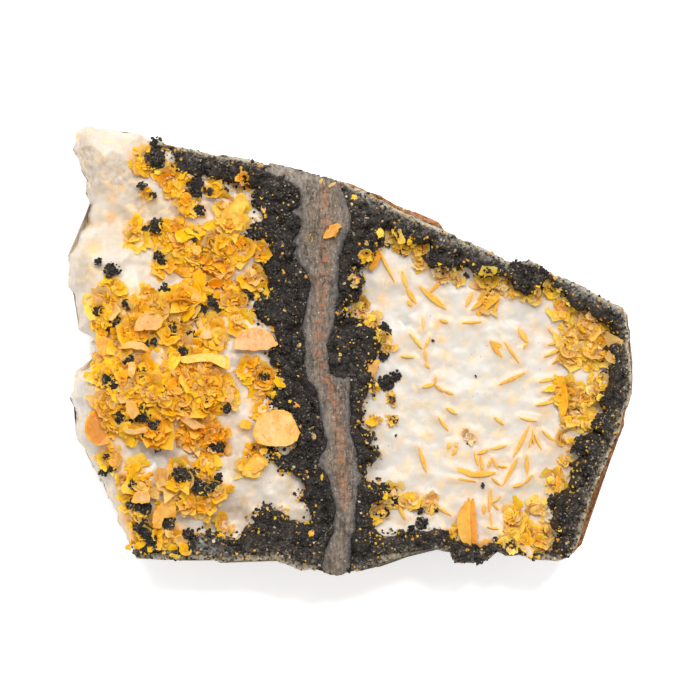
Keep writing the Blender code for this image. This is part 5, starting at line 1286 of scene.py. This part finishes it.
def plated(outline, lift, ground, lean_x, lean_y):
    """A lone tablet from its outline, standing off the ground and leaning to one side."""
    bm = bmesh.new()
    middle = np.mean(outline, axis=0)
    level = float(ground(middle[None, :])[0]) + lift
    verts = [bm.verts.new((x - middle[0], y - middle[1], 0)) for x, y in outline]
    face = bm.faces.new(verts)
    bmesh.ops.recalc_face_normals(bm, faces=[face])
    bmesh.ops.subdivide_edges(bm, edges=bm.edges[:], cuts=3, use_grid_fill=False)
    bmesh.ops.smooth_vert(bm, verts=bm.verts, factor=0.35, use_axis_x=True, use_axis_y=True)
    for vert in bm.verts:
        place = vert.co + Vector((*middle, 0))
        vert.co.x += strayed(place, 0)
        vert.co.y += strayed(place, 5)
    if bm.faces[0].normal.z < 0:
        bmesh.ops.reverse_faces(bm, faces=bm.faces)
    upper = bmesh.ops.extrude_face_region(bm, geom=bm.faces[:])["geom"]
    top = [part for part in upper if isinstance(part, bmesh.types.BMVert)]
    bmesh.ops.translate(bm, vec=(0, 0, LONE_THICKNESS), verts=top)
    bmesh.ops.recalc_face_normals(bm, faces=bm.faces)
    caps = [cap for cap in bm.faces if len(cap.verts) > 4]
    bmesh.ops.inset_individual(bm, faces=caps, thickness=0.09, depth=0.03, use_even_offset=True)
    bmesh.ops.inset_individual(bm, faces=caps, thickness=0.22, depth=-0.02, use_even_offset=True)
    bmesh.ops.triangulate(bm, faces=caps)
    inner = [edge for edge in bm.edges if all(len(face.verts) == 3 for face in edge.link_faces)]
    bmesh.ops.subdivide_edges(bm, edges=inner, cuts=1, use_grid_fill=True)
    for vert in bm.verts:
        vert.co.z += 0.42 * noise.noise((vert.co.x * 0.7, vert.co.y * 0.7, middle[0]))
    lean = Euler((math.radians(lean_x), math.radians(lean_y), 0)).to_matrix().to_4x4()
    bm.transform(Matrix.Translation((middle[0], middle[1], level)) @ lean)
    # The small side and bevel faces get the painted rim highlight
    return stored_shape(bm, lambda face: len(face.verts) == 4 and face.calc_area() < 0.12)


def bladed(start, end, width, ground):
    """A blade seen on edge: a long thin lens that tapers to both ends and stands in the calcite."""
    start, end = Vector(start), Vector(end)
    run = end - start
    level = float(np.min(ground(np.array([start, end]))))
    bm = bmesh.new()
    bmesh.ops.create_circle(bm, cap_ends=True, segments=12, radius=0.5)
    for vert in bm.verts:
        taper = 1.5 - 0.9 * abs(vert.co.x)
        vert.co.x *= run.length
        vert.co.y *= 1.2 * width * taper
        vert.co.y += 0.16 * width * noise.noise((vert.co.x, start.x, 3.0))
    upper = bmesh.ops.extrude_face_region(bm, geom=bm.faces[:])["geom"]
    top = [part for part in upper if isinstance(part, bmesh.types.BMVert)]
    bmesh.ops.translate(bm, vec=(0, 0, 1.75), verts=top)
    for vert in top:
        vert.co.y *= 0.72
        vert.co.z -= 0.12 * (2 * vert.co.x / run.length) ** 2
    bmesh.ops.recalc_face_normals(bm, faces=bm.faces)
    caps = [cap for cap in bm.faces if len(cap.verts) > 4]
    bmesh.ops.inset_individual(bm, faces=caps, thickness=0.18 * width, depth=0.05)
    bmesh.ops.triangulate(bm, faces=caps)
    middle = (start + end) / 2
    turn = Matrix.Rotation(math.atan2(run.y, run.x), 4, "Z")
    lean = Matrix.Rotation(0.12 * noise.noise((middle.x, middle.y, 1.0)), 4, "X")
    bm.transform(Matrix.Translation((middle.x, middle.y, level - 1.3)) @ turn @ lean)
    return stored_shape(bm)


def grow_knobs(cluster, places, draw, hearts, balls, ground, lift):
    """Clumps of crust: balls heaped in a dome round a heart, with a few loose ones beside them."""
    for x, y, radius in places:
        size = 0.13 + 0.09 * min(radius, 1.2)
        count = max(4, round(1.9 * (1.1 * radius / size) ** 2))
        spots = [(1.12 * radius * draw.random() ** 0.7, draw.uniform(0, math.tau)) for _ in range(count)]
        feet = spread_round(x, y, spots)
        base = float(np.mean(ground(feet))) + lift
        heart = Matrix.Diagonal((0.7 * radius, 0.7 * radius, 0.5 * radius, 1))
        cluster.put(draw.choice(hearts), Matrix.Translation((x, y, base)) @ heart, KNOB_BLACK)
        for (out, _), (px, py) in zip(spots, feet):
            dome = math.sqrt(max(0.0, 1 - (out / (radius * 1.05)) ** 2))
            ball = size * draw.uniform(0.6, 1.7)
            turn = tumbled(draw)
            stretch = Matrix.Diagonal((ball, ball * draw.uniform(0.8, 1.2), ball, 1))
            where = Matrix.Translation((px, py, base + 0.5 * radius * dome * draw.uniform(0.4, 1.1)))
            cluster.put(draw.choice(balls), where @ turn @ stretch, KNOB_BLACK)


# Rock body and worn rib
def rock_covers(points):
    """The whole of the plate and the rock that shows past it."""
    return within(ROCK_RIM, points)


def rock_wear(points):
    """Rust along the lips, near the top of the rock."""
    return [np.exp(-((rock_lip(points[:, :2]) / 2.0) ** 2)) * (points[:, 2] > 9)]


def rib_covers(points):
    """The rib itself, and a strip under the crusts beside it."""
    strip = (rib_side(points) < RIB_TUCK) & clear_of_rim(points)
    return (within(RIM, points) & within(RIB, points)) | strip


def rib_wear(points):
    """The rib's sides, the rusty line down its middle, and its pale north-west end."""
    flat = points[:, :2]
    sides = 1 - np.clip(rib_side(flat) / 1.3, 0, 1)
    seam = np.exp(-((away(RIB_SEAM, flat) / 0.9) ** 2))
    pale_end = np.clip((flat[:, 1] - 27.5) / 3, 0, 1) * (flat[:, 0] < -5)
    return [sides, seam, pale_end]


rock_body = layer(ROCK_RIM, rock_covers, rock_height, ROCK_CELL, CLOSED_ROCK_RIM, 0.0, ROCK_LEDGES)
rock = finished(rock_body, "host_rock_body", rock_finish())
painted(rock, "wear", rock_wear)
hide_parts("host_rock")

rib = finished(layer(RIB, rib_covers, rib_height, RIB_CELL, CLOSED_RIM, ROCK_TOP), "worn_rib", rib_finish())
painted(rib, "wear", rib_wear)


# Black crusts
def crust_wear(points):
    """How near the outer rim is, fading down its wall, and where the crust is worn pale."""
    flat = points[:, :2]
    south = 0.7 * fade(SOUTH_EAST_EDGE, flat, 1.2) + fade(SOUTH_WEST_EDGE, flat, 1.6)
    rim = np.clip(fade(NORTH_RIM, flat, 1.1) + south, 0, 1)
    worn = sum(fade(line, flat, reach) for line, reach in WORN_LINES)
    if points.shape[1] == 3:
        below = any_crust_height(flat) - points[:, 2]
        rim = rim * np.clip(1.2 - below / 2.2, 0.3, 1)
    return [rim, np.clip(worn, 0, 1)]


def under_rib(side, points):
    """A strip of crust that runs under the rib from one of its sides."""
    return (away(side, points) < TUCK) & within(RIB, points) & clear_of_rim(points)


def west_crust_covers(points):
    """The west half outside its calcite, and a strip under the calcite and the rib."""
    near = (away(WEST_BORDER, points) < TUCK) & within(WEST_FIELD, points) & clear_of_rim(points)
    outside = within(WEST_HALF, points) & ~within(WEST_FIELD, points)
    return outside | near | under_rib(RIB_WEST_SIDE, points)


def east_crust_covers(points):
    """The east half outside its pocket, and a strip under the calcite and the rib."""
    near = (away(CLOSED_POCKET, points) < TUCK) & clear_of_rim(points)
    ring = within(EAST_HALF, points) & (~within(EAST_POCKET, points) | near)
    return under_rib(RIB_EAST_SIDE, points) | ring


# Each crust: its side, an outline round it, what it covers, and its border with the calcite
CRUSTS = [
    ("west", WEST_BORDER + RIB_WEST_SIDE + SOUTH_WEST_EDGE, west_crust_covers, WEST_BORDER),
    ("east", EAST_HALF, east_crust_covers, CLOSED_POCKET),
]
black = crust_finish()
for side, outline, covers, border in CRUSTS:
    surface = layer(
        outline, covers, lambda at, border=border: crust_height(at, border), CRUST_CELL, CLOSED_RIM, ROCK_TOP
    )
    crust = finished(surface, "black_crust_" + side + "_surface", black)
    painted(crust, "wear", crust_wear)
    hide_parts("black_crust_" + side)


# Calcite beds
def stained(points, patches, strength):
    """How strongly wulfenite colours the calcite under it."""
    total = np.zeros(len(points))
    for x, y, radius, crowding, *_ in patches:
        gap = np.hypot(points[:, 0] - x, points[:, 1] - y) / (radius * 1.02)
        total = np.maximum(total, strength * min(1.0, crowding) * np.clip(1.7 - 1.5 * gap, 0, 1))
    return total


def spotted(points, stain, spots):
    """Adds faint round stains to what is there."""
    for spot in spots:
        stain = np.maximum(stain, mounds(points, [spot]))
    return stain


def west_ground(points):
    """Stain, dirt mixed with painted shade, and glassiness of the west calcite."""
    flat = points[:, :2]
    stain = spotted(flat, stained(flat, WEST_PATCHES, 0.95), WEST_STAINS)
    # Tan dirt with painted shade along the crust border, down the falling west edge and in the north-west
    # folds
    dirt_and_shade = 0.55 * fade(WEST_BORDER, flat, 0.9) + 0.5 * fade(WEST_EDGE, flat, 1.4) + mounds(flat, WEST_DIRT_AND_SHADE)
    return [stain, np.clip(dirt_and_shade, 0, 1), mounds(flat, WEST_GLASS)]


def east_ground(points):
    """Stain, dirt mixed with painted shade, and glassiness of the east calcite."""
    flat = points[:, :2]
    stain = spotted(flat, stained(flat, EAST_PATCHES, 0.8), EAST_STAINS)
    for start, end, _, _ in EAST_BLADES:
        stain = np.maximum(stain, 0.55 * fade([start, end], flat, 0.45))
    # The middle channel is tan dirt with painted shade along the pocket's border
    return [stain, 0.8 * fade(CLOSED_POCKET, flat, 0.8), mounds(flat, EAST_GLASS)]


def west_bed_covers(points):
    """The west field right to its broken edge, and a strip under the crust."""
    under_crust = (away(WEST_BORDER, points) < TUCK) & clear_of_rim(points)
    return (within(RIM, points) & within(WEST_FIELD, points)) | under_crust


def east_bed_covers(points):
    """The east pocket, and a strip under the crust that stays well clear of the rim."""
    under_crust = (away(CLOSED_POCKET, points) < TUCK) & clear_of_rim(points, THIN_RIM_MARGIN)
    return (clear_of_rim(points) & within(EAST_POCKET, points)) | under_crust


# Each bed: side, outline, what it covers, height, floor, what is painted on it, clean colour and shaded one
BEDS = [
    ("west", WEST_FIELD, west_bed_covers, west_calcite_height, WEST_SEAT, west_ground,
     srgb(219, 209, 195), srgb(198, 181, 158)),
    ("east", EAST_POCKET, east_bed_covers, east_calcite_height, ROCK_TOP, east_ground,
     srgb(214, 208, 199), srgb(203, 194, 180)),
]
for side, outline, covers, height, bottom, ground, clean, shade in BEDS:
    surface = layer(outline, covers, height, CALCITE_CELL, CLOSED_RIM, bottom)
    bed = finished(surface, "calcite_" + side + "_bed", calcite_finish("Calcite " + side, clean, shade))
    painted(bed, "ground", ground)
    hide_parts("calcite_" + side)


# Wulfenite
amber = wulfenite_finish()
draw = random.Random(11)
tablet_shapes = [
    tablet_shape(draw, draw.choice((11, 13, 14)), draw.uniform(0.35, 0.7), draw.uniform(-0.3, 0.3))
    for _ in range(TABLET_SHAPES)
]
petal_shapes = [
    petal_shape(draw, draw.uniform(0.9, 2.3), draw.uniform(0.5, 1.5)) for _ in range(PETAL_SHAPES)
]
ball_shapes = [knob_shape(draw, 2) for _ in range(BALL_SHAPES)]
grain_shapes = [knob_shape(draw, 1) for _ in range(GRAIN_SHAPES)]


def middle_of(name):
    """Where the middle of a solid is, seen from above."""
    low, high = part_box(name)
    return (low[0] + high[0]) / 2 / MM, (low[1] + high[1]) / 2 / MM


def nearest_name(x, y, places):
    """The name whose place is nearest."""
    return min(places, key=lambda name: math.hypot(x - places[name][0], y - places[name][1]))


ROSETTES = sorted(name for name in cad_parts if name.startswith("wulfenite_"))
WEST_GROUPS = [name for name in ROSETTES if within(WEST_HALF, np.array([middle_of(name)]))[0]]
EAST_GROUPS = [name for name in ROSETTES if name not in WEST_GROUPS]

# Each vug: groups, patches, ground, tablets for each square millimetre, the widest one, and how much paler
VUGS = [
    (WEST_GROUPS, WEST_PATCHES, west_top, 2.3, 2.8, 0.0),
    (EAST_GROUPS, EAST_PATCHES, east_top, 3.4, 1.9, 0.42),
]
for groups, patches, ground, dense, largest, paler in VUGS:
    clusters = {name: Cluster() for name in groups}
    middles = {name: middle_of(name) for name in groups}
    for patch in patches:
        cluster = clusters[nearest_name(*patch[:2], middles)]
        patch = (*patch[:4], patch[4] + paler, patch[5])
        grow_rosette(cluster, patch, draw, tablet_shapes, ground, dense, largest)
        grow_petals(cluster, patch, draw, petal_shapes, ground)
    planted = {name: middles[name] for name in groups if clusters[name].placed}
    for name in planted:
        rosette = clusters[name].piece(name + "_tablets", amber)
        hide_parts(*[other for other in groups if nearest_name(*middles[other], planted) == name])

# Lone tablets that have a solid of their own
LONE = {
    "upper_peach": "tablet_peach_upper", "lower_peach": "tablet_peach_lower",
    "standing_left": "tablet_orange_standing", "rib_trapezoid": "tablet_pale_rib",
    "on_rib": "tablet_on_rib",
}
for tablets, ground in ((WEST_TABLETS, west_calcite_height), (EAST_TABLETS, east_calcite_height)):
    for name, (outline, lift, tone, peach, lean_x, lean_y) in tablets.items():
        bed = rib_height if name == "on_rib" else ground
        cluster = Cluster()
        lift *= LIFT_SHARE
        cluster.put(plated(outline, lift, bed, lean_x, lean_y), Matrix.Identity(4), toned(tone, peach))
        middle = np.mean(outline, axis=0)
        feet = np.array([middle + 0.5 * (np.array(corner) - middle) for corner in outline[::2]])
        for (x, y), level in zip(feet, bed(feet)):
            prop = standing(x, y, level + 0.35 * lift, 1.5, draw.uniform(0, math.tau), 0, 0.55 * lift + 0.2)
            cluster.put(draw.choice(tablet_shapes), prop, toned(min(tone, 0.6), 0.2))
        # The rims of lone tablets get an amber-yellow painted highlight
        tablet = cluster.piece("tablet_face_" + name, amber, LONE_RIM_HIGHLIGHT, LONE_RIM_HIGHLIGHT_SHARE)
        if name in LONE:
            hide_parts(LONE[name])

blades = Cluster()
for start, end, width, tone in EAST_BLADES:
    blades.put(bladed(start, end, width, east_calcite_height), Matrix.Identity(4), toned(tone + 0.15, 0.35))
edge_blades = blades.piece("east_blades", amber)
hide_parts(*["blade_%02d" % number for number in range(1, 19)])

# Knobs of crust: name, places, what they stand on, how far up, and the solids they stand for
KNOBS = [
    ("west_knobs", WEST_CLUMPS, west_calcite_height, 0.9, ()),
    ("east_knobs", EAST_CLUMPS, east_calcite_height, 0.2, ("knob_pair_east_calcite", "knob_south_calcite")),
    ("crust_lumps", CRUST_CLUMPS, any_crust_height, -0.25, ()),
]
knob_black = crust_finish()
for name, places, ground, lift, nodes in KNOBS:
    clump = Cluster()
    grow_knobs(clump, places, draw, ball_shapes, grain_shapes, ground, lift)
    knobs = clump.piece(name, knob_black, sharp=ROUND_ANGLE)
    if nodes:
        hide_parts(*nodes)

# Crumbs of crust and chips of wulfenite along both borders, by turns
crumbs = Cluster()
specks = Cluster()
for line, ground in ((WEST_BORDER, west_calcite_height), (CLOSED_POCKET, east_calcite_height)):
    spots = []
    for start, end in zip(line[:-1], line[1:]):
        for _ in range(round(math.dist(start, end) * CRUMBS_PER_LENGTH)):
            share = draw.random()
            spots.append([a + share * (b - a) + draw.gauss(0, CRUMB_SPREAD) for a, b in zip(start, end)])
    spots = np.array(spots)
    spots = spots[within(RIM, spots)]
    levels = np.maximum(ground(spots), any_crust_height(spots) - 0.2)
    for number, ((x, y), level) in enumerate(zip(spots, levels)):
        turn = tumbled(draw)
        if number % 2:
            ball = draw.triangular(0.12, 0.42, 0.18)
            where = Matrix.Translation((x, y, level + 0.2 * ball)) @ turn
            crumbs.put(draw.choice(grain_shapes), where @ Matrix.Diagonal((ball, ball, ball, 1)), KNOB_BLACK)
        else:
            chip = draw.triangular(0.15, 0.6, 0.25)
            where = standing(x, y, level + 0.25, draw.uniform(0.1, 1.2), draw.uniform(0, math.tau), 0, chip)
            shape = draw.choice(tablet_shapes)
            specks.put(shape, where, toned(draw.uniform(0.0, 0.9), draw.choice((0.0, 0.0, 0.7))))

# Loose grains all over both crusts
grit_black = grain_finish()
for side, outline, covers, border in CRUSTS:
    xs, ys = zip(*outline)
    area = (max(xs) - min(xs)) * (max(ys) - min(ys))
    spots = np.array([
        (draw.uniform(min(xs), max(xs)), draw.uniform(min(ys), max(ys)))
        for _ in range(round(area * GRAINS_PER_AREA))
    ])
    spots = spots[covers(spots) & within(RIM, spots) & ~within(RIB, spots)]
    broken = ragged(spots)
    spots = spots[~(within(WEST_FIELD, broken) | within(EAST_POCKET, broken))]
    grains = Cluster()
    for (x, y), level, rim_highlight_share in zip(spots, crust_height(spots, border), crust_wear(spots)[0]):
        ball = draw.triangular(0.1, 0.4, 0.15)
        tones = TAN_TONES if draw.random() < 0.06 + 0.5 * rim_highlight_share else GRAIN_TONES
        turn = tumbled(draw)
        where = Matrix.Translation((x, y, level + 0.1 * ball)) @ turn
        squashed = Matrix.Diagonal((ball, ball, ball * 0.9, 1))
        grains.put(draw.choice(grain_shapes), where @ squashed, np.array(draw.choice(tones)))
    loose_grains = grains.piece("crust_grains_" + side, grit_black, sharp=ROUND_ANGLE)
border_chips = specks.piece("border_chips", amber)
edge_crumbs = crumbs.piece("border_knobs", knob_black, sharp=ROUND_ANGLE)

# Loose flakes on the crusts and the rib
flakes = Cluster()
spots = np.array([(x, y) for x, y, *_ in CRUST_FLAKES])
levels = np.maximum(any_crust_height(spots), rib_height(spots))
for (x, y, length, width, tone, peach), level in zip(CRUST_FLAKES, levels):
    turn = standing(x, y, level + 0.12, draw.uniform(0.05, 0.5), draw.uniform(0, math.tau), 0, 1)
    size = Matrix.Diagonal((length / 2, width / 2 / 0.8, 0.8, 1))
    flakes.put(draw.choice(tablet_shapes), turn @ size, toned(tone, peach * 0.8))
loose = flakes.piece("crust_flakes", amber)

# Floor and light, in metres and watts
FLOOR_REACH = 0.6
FLOOR_DROP = 0.0002
FLOOR_GLOW = 0.45
ROOM_LIGHT = 0.58
WHITE = (1, 1, 1, 1)
floor_bm = bmesh.new()
bmesh.ops.create_grid(floor_bm, x_segments=4, y_segments=4, size=FLOOR_REACH)
floor_mesh = stored_shape(floor_bm)
paper = Finish("Pale paper", Roughness=0.9)
paper.feed("Base Color", paper.between(paper.clouds(6, 3), srgb(250, 250, 250), srgb(254, 254, 254)))
paper.shader.inputs["Emission Color"].default_value = WHITE
paper.shader.inputs["Emission Strength"].default_value = FLOOR_GLOW
floor_mesh.materials.append(paper.material)
floor = bpy.data.objects.new("floor", floor_mesh)
floor.location.z = -FLOOR_DROP
bpy.context.scene.collection.objects.link(floor)

world = bpy.data.worlds.new("Soft room")
world.use_nodes = True
world.node_tree.nodes["Background"].inputs["Color"].default_value = WHITE
world.node_tree.nodes["Background"].inputs["Strength"].default_value = ROOM_LIGHT
bpy.context.scene.world = world

# Each lamp: name, place, width and power
LAMPS = [
    ("North soft box", (-0.10, 0.45, 0.70), 0.42, 4.2),
    ("Small key", (0.22, 0.30, 0.80), 0.12, 2.6),
]
for name, place, size, power in LAMPS:
    lamp_data = bpy.data.lights.new(name, "AREA")
    lamp_data.size = size
    lamp_data.energy = power
    lamp = bpy.data.objects.new(name, lamp_data)
    lamp.location = place
    lamp.rotation_euler = (-Vector(place)).to_track_quat("-Z", "Y").to_euler()
    bpy.context.scene.collection.objects.link(lamp)

# How far the camera sees, in metres
FURTHEST = 10

# How much the picture takes in from side to side, and the lens and the sensor, in millimetres
PHOTO_WIDTH = 123.5
LENS = 200.0
SENSOR = 36.0
camera_data = bpy.data.cameras.new("Camera")
camera_data.lens = LENS
camera_data.sensor_width = SENSOR
camera_data.clip_end = FURTHEST
camera = bpy.data.objects.new("Camera", camera_data)
camera.location = (0, 0, (PHOTO_WIDTH * LENS / SENSOR + CRUST_FLOOR) * MM)
bpy.context.scene.collection.objects.link(camera)
bpy.context.scene.camera = camera
bpy.context.scene.view_settings.view_transform = "Standard"

bpy.context.view_layer.update()
